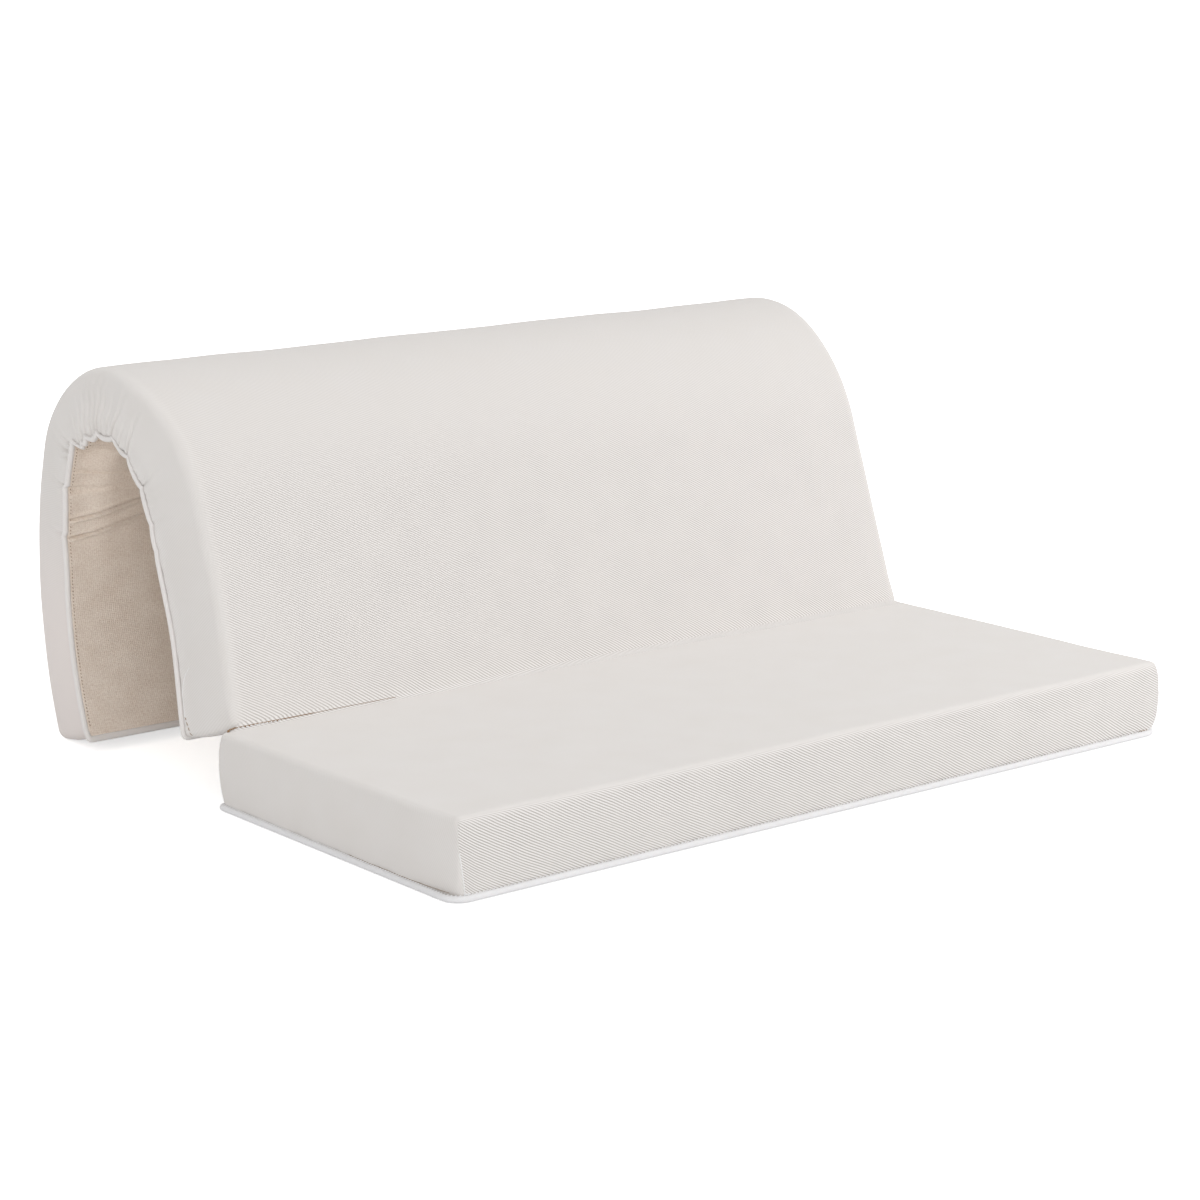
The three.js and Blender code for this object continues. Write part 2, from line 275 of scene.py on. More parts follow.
def draw_in(points, cushion):
    """Leans and swells the side faces of a flat cushion, and crowns its top.

    Points are x across, s along and u up from the felt side."""
    x, s, u = points.T
    share = np.clip((u - PIPING_WIDTH) / (THICKNESS - PIPING_WIDTH), 0, 1)
    swell = 4 * SIDE_BULGE * share * (1 - share)
    near = PIPING_PROUD
    far = cushion["length"] - PIPING_PROUD
    across = x * (1 - ((cushion["top_inset"] - PIPING_PROUD) * share - swell) / KNIT_HALF)
    at_near = np.clip(1 - (s - near) / END_REACH, 0, 1) ** 2
    at_far = np.clip(1 - (far - s) / END_REACH, 0, 1) ** 2
    along = s + ((cushion["near_inset"] - PIPING_PROUD) * share - swell) * at_near
    along = along - ((cushion["far_inset"] - PIPING_PROUD) * share - swell) * at_far
    crown = (1 - (x / HALF_WIDTH) ** 2) * (1 - (2 * s / cushion["length"] - 1) ** 2)
    return np.stack([across, along, u + cushion["crown"] * crown * share**2], axis=1)


def foam_block(near, far, round_near, round_far, step):
    """A slab between two places along a cushion, with its outer top edges rounded."""
    low = SEAM_HEIGHT + FOAM_OVER_FELT
    high = THICKNESS - FOAM_EASE + FOAM_LOFT
    half = KNIT_HALF - FOAM_EASE
    block = bmesh.new()
    bmesh.ops.create_cube(block, size=1)
    bmesh.ops.scale(block, vec=(2 * half, far - near, high - low), verts=block.verts)
    bmesh.ops.translate(block, vec=(0, (near + far) / 2, (low + high) / 2), verts=block.verts)
    rounded = []
    for edge in block.edges:
        middle = (edge.verts[0].co + edge.verts[1].co) / 2
        on_top = middle.z > high - SAME_PLACE
        on_side = abs(middle.x) > half - SAME_PLACE
        at_near = round_near and middle.y < near + SAME_PLACE
        at_far = round_far and middle.y > far - SAME_PLACE
        if on_top + on_side + (at_near or at_far) >= 2:
            rounded.append(edge)
    bmesh.ops.bevel(
        block,
        geom=rounded,
        offset=EDGE_RADIUS - FOAM_EASE / 2,
        segments=FOAM_ROUND_STEPS,
        profile=0.5,
        affect="EDGES",
        material=-1,
        clamp_overlap=True,
    )
    cuts = [((0, place, 0), (0, 1, 0)) for place in even(near, far, step)[1:-1]]
    cuts += [((place, 0, 0), (1, 0, 0)) for place in even(-half, half, FOAM_STEP_ACROSS)[1:-1]]
    cuts += [((0, 0, place), (0, 0, 1)) for place in even(low, high, FOAM_STEP_UP)[1:-1]]
    for place, across in cuts:
        parts = block.verts[:] + block.edges[:] + block.faces[:]
        bmesh.ops.bisect_plane(block, geom=parts, plane_co=place, plane_no=across)
    return block


SEAT = {
    "length": SEAT_DEPTH,
    "top_inset": SEAT_TOP_INSET,
    "near_inset": SEAT_TOP_INSET,
    "far_inset": SEAT_TOP_INSET,
    "edge_radius": SEAT_EDGE_RADIUS,
    "near_radius": SEAT_EDGE_RADIUS,
    "far_radius": FOLD_EDGE_RADIUS,
    "corner_power": 5.0,
    "near_corner": 0.032,
    "far_corner": 0.012,
    "crown": SEAT_CROWN,
}


def place_on_seat(points):
    """From the flat cushion's places to the object's own."""
    return points + np.array([0, -SEAT_DEPTH / 2, 0])


def pull_corners(points):
    """Draws the two front corners in from the ends, the left one much more."""
    x, s, u = points.T
    by_side = np.clip(1 - (KNIT_HALF - np.abs(x)) / CORNER_PULL_ACROSS, 0, 1) ** 1.5
    by_front = np.clip(1 - (s - PIPING_PROUD) / CORNER_PULL_ALONG, 0, 1) ** 2
    low = 1 - smooth(u, *FOOT_PULL_HEIGHTS)
    pull = np.where(x < 0, LEFT_CORNER_PULL + LEFT_FOOT_PULL * low, RIGHT_FOOT_PULL * low)
    return np.stack([x - np.sign(x) * pull * by_side * by_front, s, u], axis=1)


foam_finish = Finish(bpy.data.materials.new("cream foam"))
foam_shader = foam_finish.tree.nodes["Principled BSDF"]
foam_shader.inputs["Roughness"].default_value = 0.95
foam_place = foam_finish.node("TexCoord", {}, {}, "Object")
foam_cells = foam_finish.node("TexVoronoi", {}, {"Vector": foam_place, "Scale": 520})
foam_colour = foam_finish.node(
    "Mix", {"data_type": "RGBA"}, {0: foam_cells, 6: FOAM_SHADE, 7: FOAM_CREAM}, 2
)
foam_finish.join(foam_colour, "BSDF_PRINCIPLED", "Base Color")
foam_finish.join(
    foam_finish.node("Bump", {}, {"Height": foam_cells, "Strength": 0.6, "Distance": 0.0006}),
    "BSDF_PRINCIPLED",
    "Normal",
)

foam_start = PIPING_PROUD + FOAM_EASE
seat_slab = foam_block(foam_start, SEAT_DEPTH - foam_start, True, True, SEAT_FOAM_STEP)
reshape(seat_slab, lambda points: place_on_seat(pull_corners(draw_in(points, SEAT))))
seat_core = add_piece("seat_foam_core", seat_slab, foam_finish)
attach(seat_core, "seat")
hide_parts("seat_foam")


# Seat cover
# Warm white stretch knit with a thin wadding, ribbed on the slant. It runs over the top
# and down the four sides without a seam at the edge, and its four corners are sewn.
KNIT_WHITE = (0.757, 0.731, 0.710, 1)
KNIT_WARM = (0.729, 0.697, 0.667, 1)
# Painted highlight on the ribs' ridges, and painted shade in the gaps between them.
KNIT_PAINTED_HIGHLIGHT = (0.95, 0.93, 0.92, 1)
KNIT_PAINTED_GAP_SHADE = (0.29, 0.25, 0.22, 1)
KNIT_LEG_PAINTED_LIGHT = (0.81, 0.745, 0.715, 1)
RIB_PITCH = 0.0041
RIB_HEIGHT = 0.0007
STITCH_LENGTH = 0.0013
END_CLOTH_OFFSET = 0.25
# Steps of the cloth's grid: the finest, at its ends, the widest and how fast they grow.
SEAT_COLUMN_STEPS = (0.0018, 0.012, 1.18)
SEAT_ROW_STEPS = (0.001, 0.012, 1.2)
DROP_STEPS = (0.0018, 0.005, 1.15)
# Near its corners the cloth takes over the radius of the other edge, within this reach
# of the sides and between these distances from the ends.
CORNER_REACH = 0.05
END_FADE = (0.01, 0.05)
# Below the top the cloth's corners turn square, and over the piping round once more:
# between these drops, the last ones for a share of the piping's own corner.
CORNER_SQUARE_DROPS = (0.006, 0.03)
FOOT_ROUND_DROPS = (0.085, 0.112)
FOOT_ROUND_ACROSS = (KNIT_HALF - 0.06, KNIT_HALF - 0.03)
FOOT_ROUNDING = 0.7
# Ribs and gaps: how far they wander, and how strong their painted highlight and painted shade are.
RIB_DRIFT = 0.006
RIB_PAINTED_HIGHLIGHT = 0.86
BACK_END_RIBS = 0.12
# The outer faces over the crown are painted darker, less so past it: painted shade.
CROWN_PAINTED_SHADE = 0.08
# Where the ribs fade below the front edge, and what is left of them on the other faces.
SEAT_RIB_START = 0.014
SEAT_RIB_END = -0.008
SEAT_RIB_REST = 0.06
# On the back they fade at the ends, on the crown and past it, and the rear leg is painted lighter and
# warmer: painted light.
BACK_RIB_SIDES = (0.668, 0.692)
CROWN_FADE = (0.26, 0.52, 0.72)
PAST_CROWN_FADE = (0.85, 1.0, 0.3)
LEG_PAINTED_LIGHT = (0.9, 1.25, 0.9)
# How far the seams stand from the front corners at the foot, left and right.
LEFT_SEAM_SLIDE = 0.013
RIGHT_SEAM_SLIDE = 0.003
SEAM_SLIDE_REACH = 0.09
# Puckers above the piping on sides and front, each with its depth and pitch, and how
# far up they fade.
SIDE_PUCKERS = (0.0006, 0.034)
FRONT_PUCKERS = (0.0006, 0.037)
PUCKER_FADE = 0.012
# The wide waves of the seat's sides, front and top, and the small ones on its top.
SEAT_SIDE_WAVES = (0.0007, 0.11)
SEAT_FRONT_WAVES = (0.0008, 0.13)
SEAT_TOP_WAVES = (0.0009, 0.31)
SEAT_TOP_RIPPLES = (0.0004, 0.12)
# Upright creases of the front: place, depth and half width.
FRONT_CREASES = ((0.652, 0.0018, 0.005), (0.628, 0.001, 0.006), (-0.655, 0.0009, 0.006))


def graded(low, high, fine, coarse, growth):
    """Places from low to high, close together at both ends and wider apart between."""
    steps = []
    step = fine
    while sum(steps) + step < (high - low) / 2 and step < coarse:
        steps.append(step)
        step *= growth
    reach = sum(steps)
    middle = even(low + reach, high - reach, coarse)
    ends = np.cumsum(steps)
    return np.concatenate([[low], low + ends[:-1], middle, high - ends[-2::-1], [high]])


def box_cloth(columns, rows, drops, with_near, with_far):
    """A flat cloth with flaps drawn down along its sides and at the ends that have one."""
    cloth = bmesh.new()
    across = len(columns) - 1
    along = len(rows) - 1
    bmesh.ops.create_grid(cloth, x_segments=across, y_segments=along, size=0.5)
    for vert in cloth.verts:
        vert.co.x = columns[round((vert.co.x + 0.5) * across)]
        vert.co.y = rows[round((vert.co.y + 0.5) * along)]
    border = []
    for edge in cloth.edges:
        middle = (edge.verts[0].co + edge.verts[1].co) / 2
        at_near = with_near and middle.y < rows[0] + SAME_PLACE
        at_far = with_far and middle.y > rows[-1] - SAME_PLACE
        if abs(middle.x) > columns[-1] - SAME_PLACE or at_near or at_far:
            border.append(edge)
    for drop in drops:
        drawn = bmesh.ops.extrude_edge_only(cloth, edges=border)["geom"]
        lowered = {item for item in drawn if isinstance(item, bmesh.types.BMVert)}
        for vert in lowered:
            vert.co.z = -drop
        border = [
            item
            for item in drawn
            if isinstance(item, bmesh.types.BMEdge) and lowered.issuperset(item.verts)
        ]
    cloth.normal_update()
    unrolled = cloth.loops.layers.uv.new("UVMap")
    for face in cloth.faces:
        turned = face.normal
        for loop in face.loops:
            x, s, z = loop.vert.co
            if abs(turned.x) > 0.5:
                x += math.copysign(END_CLOTH_OFFSET + z, x)
            elif turned.y < -0.5:
                s += z
            elif turned.y > 0.5:
                s -= z
            loop[unrolled].uv = (x, s)
    return cloth


def round_over(points, cushion):
    """Rounds a box cloth over the foam's edges and down its corners.

    Points are x across, s along and minus the drop below the top."""
    near = PIPING_PROUD
    far = cushion["length"] - PIPING_PROUD
    x, s, z = points.T
    edge_radius = cushion["edge_radius"]
    at_side = smooth(np.abs(x), KNIT_HALF - CORNER_REACH, KNIT_HALF - EDGE_RADIUS)
    end_radius = np.where(s < (near + far) / 2, cushion["near_radius"], cushion["far_radius"])
    at_corner = np.where(end_radius < edge_radius, FOLD_CORNER_RADIUS, edge_radius)
    along_radius = end_radius + (at_corner - end_radius) * at_side
    to_end = np.minimum(s - near, far - s)
    up_radius = edge_radius + (along_radius - edge_radius) * (1 - smooth(to_end, *END_FADE))
    at_foot = FOOT_ROUNDING * smooth(-z, *FOOT_ROUND_DROPS)
    outline_radius = np.where(s < (near + far) / 2, cushion["near_corner"], cushion["far_corner"])
    foot_radius = np.maximum(outline_radius - PIPING_PROUD, edge_radius)
    across_radius = edge_radius + (foot_radius - edge_radius) * at_foot
    by_corner = smooth(np.abs(x), *FOOT_ROUND_ACROSS)
    along_radius = along_radius + (foot_radius - along_radius) * at_foot * by_corner
    squared = smooth(-z, *CORNER_SQUARE_DROPS) * (1 - at_foot)
    power = 2 + (cushion["corner_power"] - 2) * squared
    core_x = np.clip(x, -KNIT_HALF + across_radius, KNIT_HALF - across_radius)
    core_s = np.clip(s, near + along_radius, far - along_radius)
    core_z = np.minimum(z, -up_radius)
    out_x = np.abs(x - core_x) / across_radius
    out_s = np.abs(s - core_s) / along_radius
    out_z = (z - core_z) / up_radius
    level = (out_x**power + out_s**power) ** (1 / power)
    reach = np.sqrt(level**2 + out_z**2)
    return np.stack(
        [
            core_x + (x - core_x) / reach,
            core_s + (s - core_s) / reach,
            core_z + (z - core_z) / reach + THICKNESS,
        ],
        axis=1,
    )


def thicken(cloth, depth):
    """Gives a cloth its thickness, away from its face side, and crisp cut edges.

    Its points were moved one by one, so that its normals are out of date until then."""
    cloth.normal_update()
    outside = set(cloth.verts)
    bmesh.ops.solidify(cloth, geom=cloth.faces[:], thickness=depth)
    for face in cloth.faces:
        face.smooth = sum(vert in outside for vert in face.verts) in (0, len(face.verts))


def ripple(a, b, depth, size):
    """A soft irregular wave of about the given depth and size."""
    p = a * (2 * math.pi / size)
    q = b * (2 * math.pi / size)
    wave = np.sin(p + 0.8 * np.sin(0.61 * q + 1.1)) * np.cos(0.83 * q + 0.7 * np.sin(0.53 * p))
    return depth * (0.65 * wave + 0.35 * np.sin(0.47 * p - 0.71 * q + 2.3))


def soften_seat(points):
    """The cover's small unevenness: shallow dents on top, puckers above the piping and
    a few upright creases where the cloth is drawn round the front corners."""
    x, s, u = points.T
    rise = np.clip(u - PIPING_WIDTH, 0, None)
    by_seam = np.exp(-rise / PUCKER_FADE)
    on_side = smooth(np.abs(x), KNIT_HALF - 0.02, KNIT_HALF - 0.004)
    on_end = smooth(np.abs(s - SEAT_DEPTH / 2), SEAT_DEPTH / 2 - 0.027, SEAT_DEPTH / 2 - 0.011)
    on_top = smooth(u, THICKNESS - 0.02, THICKNESS)
    x_pucker = by_seam * ripple(s, 0, *SIDE_PUCKERS) + ripple(s, 0.6 * u, *SEAT_SIDE_WAVES)
    s_pucker = by_seam * ripple(x, 0, *FRONT_PUCKERS) + ripple(x, 0.6 * u, *SEAT_FRONT_WAVES)
    crease = np.zeros_like(x)
    for place, depth, width in FRONT_CREASES:
        upright = np.exp(-(((x - place - 0.08 * (u - 0.06)) / width) ** 2))
        crease += depth * upright * smooth(u, 0.012, 0.03) * (1 - smooth(u, *FOOT_ROUND_DROPS))
    across = x + np.sign(x) * on_side * x_pucker * (1 - on_top)
    toward = np.sign(s - SEAT_DEPTH / 2)
    along = s + toward * on_end * (s_pucker * (1 - on_top) - crease * (s < SEAT_DEPTH / 2))
    up = u + on_top * (ripple(x, s, *SEAT_TOP_WAVES) + ripple(s, x, *SEAT_TOP_RIPPLES))
    return np.stack([across, along, up], axis=1)


def slide_seams(points):
    """Slides the cloth of the sides round the front corners, so that their seams run
    slantwise over the front, away from the corner at the piping."""
    x, s, z = points.T
    way_round = (KNIT_HALF - np.abs(x)) - (s - PIPING_PROUD)
    falloff = np.clip(1 - np.abs(way_round) / SEAM_SLIDE_REACH, 0, 1) ** 2
    slide = np.where(x < 0, LEFT_SEAM_SLIDE, RIGHT_SEAM_SLIDE)
    slid = way_round + slide * smooth(-z, 0.02, 0.13) * falloff
    moves = (z < -SAME_PLACE) & (falloff > 0) & (s < SEAT_DEPTH / 2)
    across = np.where(moves, np.sign(x) * (KNIT_HALF - np.maximum(slid, 0)), x)
    along = np.where(moves, PIPING_PROUD + np.maximum(-slid, 0), s)
    return np.stack([across, along, z], axis=1)


def seat_surface(points):
    """From the flat cloth to the seat cover's outer face."""
    rounded = draw_in(round_over(slide_seams(points), SEAT), SEAT)
    return place_on_seat(soften_seat(pull_corners(rounded)))


def knit_finish(name, slope, slope_gain, rib_share, on_seat):
    """Slanting knit ribs: ridges with a painted highlight and thin gaps in painted shade, small
    dots where the yarn crosses, and a slightly fluffy surface. They fade out on the other faces."""
    finish = Finish(bpy.data.materials.new(name))

    def noise(scale, detail):
        """Noise on the flat cloth."""
        values = {"Vector": cloth, "Scale": scale, "Detail": detail}
        return finish.node("TexNoise", {"noise_dimensions": "2D"}, values)

    def mix(share, first, second):
        """A colour between two, by share."""
        return finish.node("Mix", {"data_type": "RGBA"}, {0: share, 6: first, 7: second}, 2)

    def soft_step(value, start, end, before, after):
        """An S-curve from the value before the start to the one after the end."""
        values = {0: value, 1: start, 2: end, 3: before, 4: after}
        return finish.node("MapRange", {"interpolation_type": "SMOOTHSTEP"}, values)

    shader = finish.tree.nodes["Principled BSDF"]
    shader.inputs["Roughness"].default_value = 0.85
    shader.inputs["Sheen Weight"].default_value = 0.15
    shader.inputs["Sheen Roughness"].default_value = 0.5
    shader.inputs["Specular IOR Level"].default_value = 0.2
    cloth = finish.node("TexCoord", {}, {}, "UV")
    a = finish.node("SeparateXYZ", {}, {0: cloth}, 0)
    b = finish.node("SeparateXYZ", {}, {0: cloth}, 1)
    drift = noise(9, 2)
    across_ribs = b + a * slope + a * a * slope_gain + drift * RIB_DRIFT
    along_ribs = a - b * slope
    rib_turn = across_ribs * (math.pi / RIB_PITCH)
    ridge = rib_turn.math("SINE").math("ABSOLUTE")
    gap = (1 - ridge) ** 1.8
    stitch = (along_ribs * (math.tau / STITCH_LENGTH) + rib_turn).math("SINE") * 0.5 + 0.5
    fluff = noise(900, 3)
    patches = noise(14, 4)
    base = mix(patches, KNIT_WARM, KNIT_WHITE)
    if on_seat:
        shown = soft_step(b, SEAT_RIB_START, SEAT_RIB_END, SEAT_RIB_REST, rib_share)
    else:
        on_outside = soft_step(a.math("ABSOLUTE"), *BACK_RIB_SIDES, 1, 0)
        crown_start, crown_end, crown_share = CROWN_FADE
        past_start, past_end, past_share = PAST_CROWN_FADE
        faded = soft_step(b, crown_start, crown_end, 0, crown_share)
        faded = faded * soft_step(b, past_start, past_end, 1, past_share)
        shown = (on_outside * (1 - BACK_END_RIBS) + BACK_END_RIBS) * (1 - faded) * rib_share
        # Painted light: the knit of the rear leg is painted lighter and warmer.
        leg_start, leg_end, leg_share = LEG_PAINTED_LIGHT
        base = mix(soft_step(b, leg_start, leg_end, 0, leg_share), base, KNIT_LEG_PAINTED_LIGHT)
    # Painted light and shade: ridges are painted lighter and gaps darker, most where the ribs are
    # shown most.
    painted_highlight = ridge**3 * (stitch * 0.2 + 0.8) * shown * RIB_PAINTED_HIGHLIGHT
    painted_shade = gap * (stitch * 0.25 + 0.9) * shown * (patches * 0.8 + 0.6)
    # Painted shade: the outer faces over the crown are painted darker.
    if not on_seat:
        painted_shade = painted_shade + on_outside * faded * CROWN_PAINTED_SHADE
    colour = mix(painted_shade, mix(painted_highlight, base, KNIT_PAINTED_HIGHLIGHT), KNIT_PAINTED_GAP_SHADE)
    finish.join(colour, "BSDF_PRINCIPLED", "Base Color")
    height = ridge**0.6 * 0.85 + stitch * 0.06 + fluff * 0.25
    bump = finish.node("Bump", {}, {"Height": height * shown, "Strength": 1, "Distance": RIB_HEIGHT})
    finish.join(bump, "BSDF_PRINCIPLED", "Normal")
    return finish


SEAT_RIB_SLOPE = 0.535
SEAT_RIB_GAIN = 0.0
SEAT_RIB_SHARE = 0.82
seat_knit = knit_finish("seat knit", SEAT_RIB_SLOPE, SEAT_RIB_GAIN, SEAT_RIB_SHARE, True)

KNIT_DROP = THICKNESS - SEAM_HEIGHT
side_drops = graded(0, KNIT_DROP, *DROP_STEPS)[1:]
seat_cloth = box_cloth(
    graded(-KNIT_HALF, KNIT_HALF, *SEAT_COLUMN_STEPS),
    graded(PIPING_PROUD, SEAT_DEPTH - PIPING_PROUD, *SEAT_ROW_STEPS),
    side_drops,
    True,
    True,
)
reshape(seat_cloth, seat_surface)
thicken(seat_cloth, KNIT_THICKNESS)
seat_cover = add_piece("seat_cover", seat_cloth, seat_knit)
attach(seat_cover, "seat")
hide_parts("seat_knit_cover")


# Seat felt
# Beige brown needle felt that closes the underside, cut with round corners and sewn to
# the knit all round, under the piping.
# Both felt tones are painted lighter than the felt's own colour, standing in for the light that fills
# the arch: painted light.
FELT_PALE_WITH_PAINTED_LIGHT = (0.94, 0.85, 0.755, 1)
FELT_DEEP_WITH_PAINTED_LIGHT = (0.73, 0.61, 0.515, 1)
# Distance between the needle's rows, which cross on the slant.
FELT_NEEDLE_ROWS = (0.0075, 0.0068)
SEAT_FELT_STEPS = (0.003, 0.03, 1.3)


def felt_cloth(columns, rows, cushion):
    """Felt lies face down: a flat sheet with its outer corners rounded."""
    cloth = box_cloth(columns, rows, [], False, False)
    bmesh.ops.reverse_faces(cloth, faces=cloth.faces[:])
    near = PIPING_PROUD
    far = cushion["length"] - PIPING_PROUD

    def round_corners(points):
        """Moves the points near each corner on to circles about the corner's centre."""
        x, s, z = points.T
        at_near = s < cushion["length"] / 2
        radius = np.where(at_near, cushion["near_corner"], cushion["far_corner"]) - PIPING_PROUD
        core_x = np.clip(x, -KNIT_HALF + radius, KNIT_HALF - radius)
        core_s = np.clip(s, near + radius, far - radius)
        out_x = np.abs(x - core_x)
        out_s = np.abs(s - core_s)
        share = np.maximum(out_x, out_s) / np.maximum(np.hypot(out_x, out_s), SAME_PLACE)
        share = np.where(np.minimum(out_x, out_s) > 0, share, 1)
        return np.stack([core_x + (x - core_x) * share, core_s + (s - core_s) * share, z], axis=1)

    reshape(cloth, round_corners)
    return cloth


felt_finish = Finish(bpy.data.materials.new("needle felt"))
felt_shader = felt_finish.tree.nodes["Principled BSDF"]
felt_shader.inputs["Roughness"].default_value = 0.95
felt_shader.inputs["Specular IOR Level"].default_value = 0.15
felt_place = felt_finish.node("TexCoord", {}, {}, "UV")
felt_across = felt_finish.node("SeparateXYZ", {}, {0: felt_place}, 0)
felt_along = felt_finish.node("SeparateXYZ", {}, {0: felt_place}, 1)
felt_clouds = felt_finish.node(
    "TexNoise",
    {"noise_dimensions": "2D"},
    {"Vector": felt_place, "Scale": 22, "Detail": 5, "Roughness": 0.6},
)
felt_fibres = felt_finish.node(
    "TexNoise",
    {"noise_dimensions": "2D"},
    {"Vector": felt_place, "Scale": 330, "Detail": 3, "Distortion": 0.8},
)
felt_specks = felt_finish.node("MapRange", {}, {0: felt_fibres, 1: 0.36, 2: 0.62, 3: 0, 4: 1})
felt_one = (felt_across + felt_along) * (math.tau / FELT_NEEDLE_ROWS[0]) + felt_clouds * 2
felt_two = (felt_across - felt_along) * (math.tau / FELT_NEEDLE_ROWS[1]) + felt_clouds * 2
felt_weave = felt_one.math("SINE") * felt_two.math("SINE") * 0.5 + 0.5
felt_tone = felt_clouds * 0.8 + felt_specks * 0.5 + felt_weave * 0.2 - 0.26
felt_colour = felt_finish.node(
    "Mix", {"data_type": "RGBA"}, {0: felt_tone, 6: FELT_DEEP_WITH_PAINTED_LIGHT, 7: FELT_PALE_WITH_PAINTED_LIGHT}, 2
)
felt_finish.join(felt_colour, "BSDF_PRINCIPLED", "Base Color")
felt_relief = felt_fibres * 0.6 + felt_weave * 0.5
felt_finish.join(
    felt_finish.node("Bump", {}, {"Height": felt_relief, "Strength": 0.8, "Distance": 0.0007}),
    "BSDF_PRINCIPLED",
    "Normal",
)

seat_underlay = felt_cloth(
    graded(-KNIT_HALF, KNIT_HALF, *SEAT_FELT_STEPS),
    graded(PIPING_PROUD, SEAT_DEPTH - PIPING_PROUD, *SEAT_FELT_STEPS),
    SEAT,
)
reshape(seat_underlay, place_on_seat)
thicken(seat_underlay, FELT_THICKNESS)
seat_felt = add_piece("seat_felt_underside", seat_underlay, felt_finish)
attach(seat_felt, "seat")
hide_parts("seat_felt")


# Seat piping
# Satin white bias strip sewn round a cord, let into the seam between knit and felt. Its
# flat side lies on the knit, and its strip is wound at a slant.
PIPING_WHITE = (0.84, 0.835, 0.842, 1)
# The back's piping is the same satin, painted warmer for the warmer light it gets: painted light.
PIPING_WARM_PAINTED_LIGHT = (0.845, 0.81, 0.785, 1)
PIPING_PAINTED_SHADE_AND_WEAR = (0.62, 0.61, 0.62, 1)
PIPING_SIDES = 14
PIPING_CORNER_STEPS = 9
PIPING_FLAT = 0.0075
PIPING_WIND = 0.0022


def satin_finish(name, white):
    """Satin strip wound at a slant, with painted shade in the grooves between its windings and a
    little wear.
    """
    finish = Finish(bpy.data.materials.new(name))
    shader = finish.tree.nodes["Principled BSDF"]
    shader.inputs["Roughness"].default_value = 0.55
    shader.inputs["Specular IOR Level"].default_value = 0.3
    shader.inputs["Sheen Weight"].default_value = 0.1
    place = finish.node("TexCoord", {}, {}, "UV")
    along = finish.node("SeparateXYZ", {}, {0: place}, 0)
    way_round = finish.node("SeparateXYZ", {}, {0: place}, 1)
    wrap = ((along + way_round * 0.9) * (math.pi / PIPING_WIND)).math("SINE").math("ABSOLUTE")
    wear_values = {"Vector": place, "Scale": 60, "Detail": 3}
    wear = finish.node("TexNoise", {"noise_dimensions": "2D"}, wear_values)
    # Painted shade in the grooves between the windings, and wear.
    groove_shade_and_wear = (1 - wrap) ** 3 * 0.35 + wear * 0.12
    colour = finish.node("Mix", {"data_type": "RGBA"}, {0: groove_shade_and_wear, 6: white, 7: PIPING_PAINTED_SHADE_AND_WEAR}, 2)
    finish.join(colour, "BSDF_PRINCIPLED", "Base Color")
    bump = finish.node("Bump", {}, {"Height": wrap + wear * 0.8, "Strength": 0.7, "Distance": 0.0003})
    finish.join(bump, "BSDF_PRINCIPLED", "Normal")
    return finish


seat_satin = satin_finish("seat piping", PIPING_WHITE)
# A warmer copy of the seat's satin: painted light.
back_satin_painted_warm = satin_finish("back piping", PIPING_WARM_PAINTED_LIGHT)


def corner_path(cushion, side, end, start):
    """A quarter turn of the piping's outer line, as x, s and the way out."""
    radius = cushion["near_corner"] if end < 0 else cushion["far_corner"]
    centre = (side * (HALF_WIDTH - radius), radius if end < 0 else cushion["length"] - radius)
    turns = start + np.linspace(0, math.pi / 2, PIPING_CORNER_STEPS)
    out = np.stack([np.cos(turns), np.sin(turns)], axis=1)
    return np.hstack([np.array(centre) + radius * out, out])


def straight_path(from_place, to_place, out, places):
    """A straight run of the outer line, at shares of its length."""
    first = np.array(from_place)
    run = first + np.outer(places, np.array(to_place) - first)
    return np.hstack([run, np.tile(out, (len(places), 1))])


def lay_piping(outline, is_loop):
    """Rolls a flat strip into a bead along an outline and closes it."""
    steps = len(outline) if is_loop else len(outline) - 1
    strip = bmesh.new()
    bmesh.ops.create_grid(strip, x_segments=steps, y_segments=PIPING_SIDES, size=0.5)
    lengths = np.hypot(*np.diff(np.vstack([outline, outline[:1]])[:, :2], axis=0).T)
    travel = np.concatenate([[0], np.cumsum(lengths)])
    unrolled = strip.loops.layers.uv.new("UVMap")
    radius = PIPING_WIDTH / 2
    for face in strip.faces:
        for loop in face.loops:
            place = round((loop.vert.co.x + 0.5) * steps)
            loop[unrolled].uv = (travel[place], (loop.vert.co.y + 0.5) * math.tau * radius)
    for vert in strip.verts:
        x, s, out_x, out_s = outline[round((vert.co.x + 0.5) * steps) % len(outline)]
        turn = (vert.co.y + 0.5) * math.tau
        out = max(radius * math.cos(turn) - radius, -PIPING_FLAT)
        vert.co = (x + out_x * out, s + out_s * out, radius + radius * math.sin(turn))
    bmesh.ops.remove_doubles(strip, verts=strip.verts, dist=2 * SAME_PLACE)
    for face in strip.faces:
        face.smooth = True
    if not is_loop:
        open_edges = [edge for edge in strip.edges if edge.is_boundary]
        caps = bmesh.ops.holes_fill(strip, edges=open_edges, sides=0)["faces"]
        for cap in caps:
            cap.smooth = False
    bmesh.ops.recalc_face_normals(strip, faces=strip.faces[:])
    return strip


seat_near = SEAT["near_corner"]
seat_far = SEAT["far_corner"]
front_end = HALF_WIDTH - seat_near
rear_end = HALF_WIDTH - seat_far
side_end = SEAT_DEPTH - seat_far
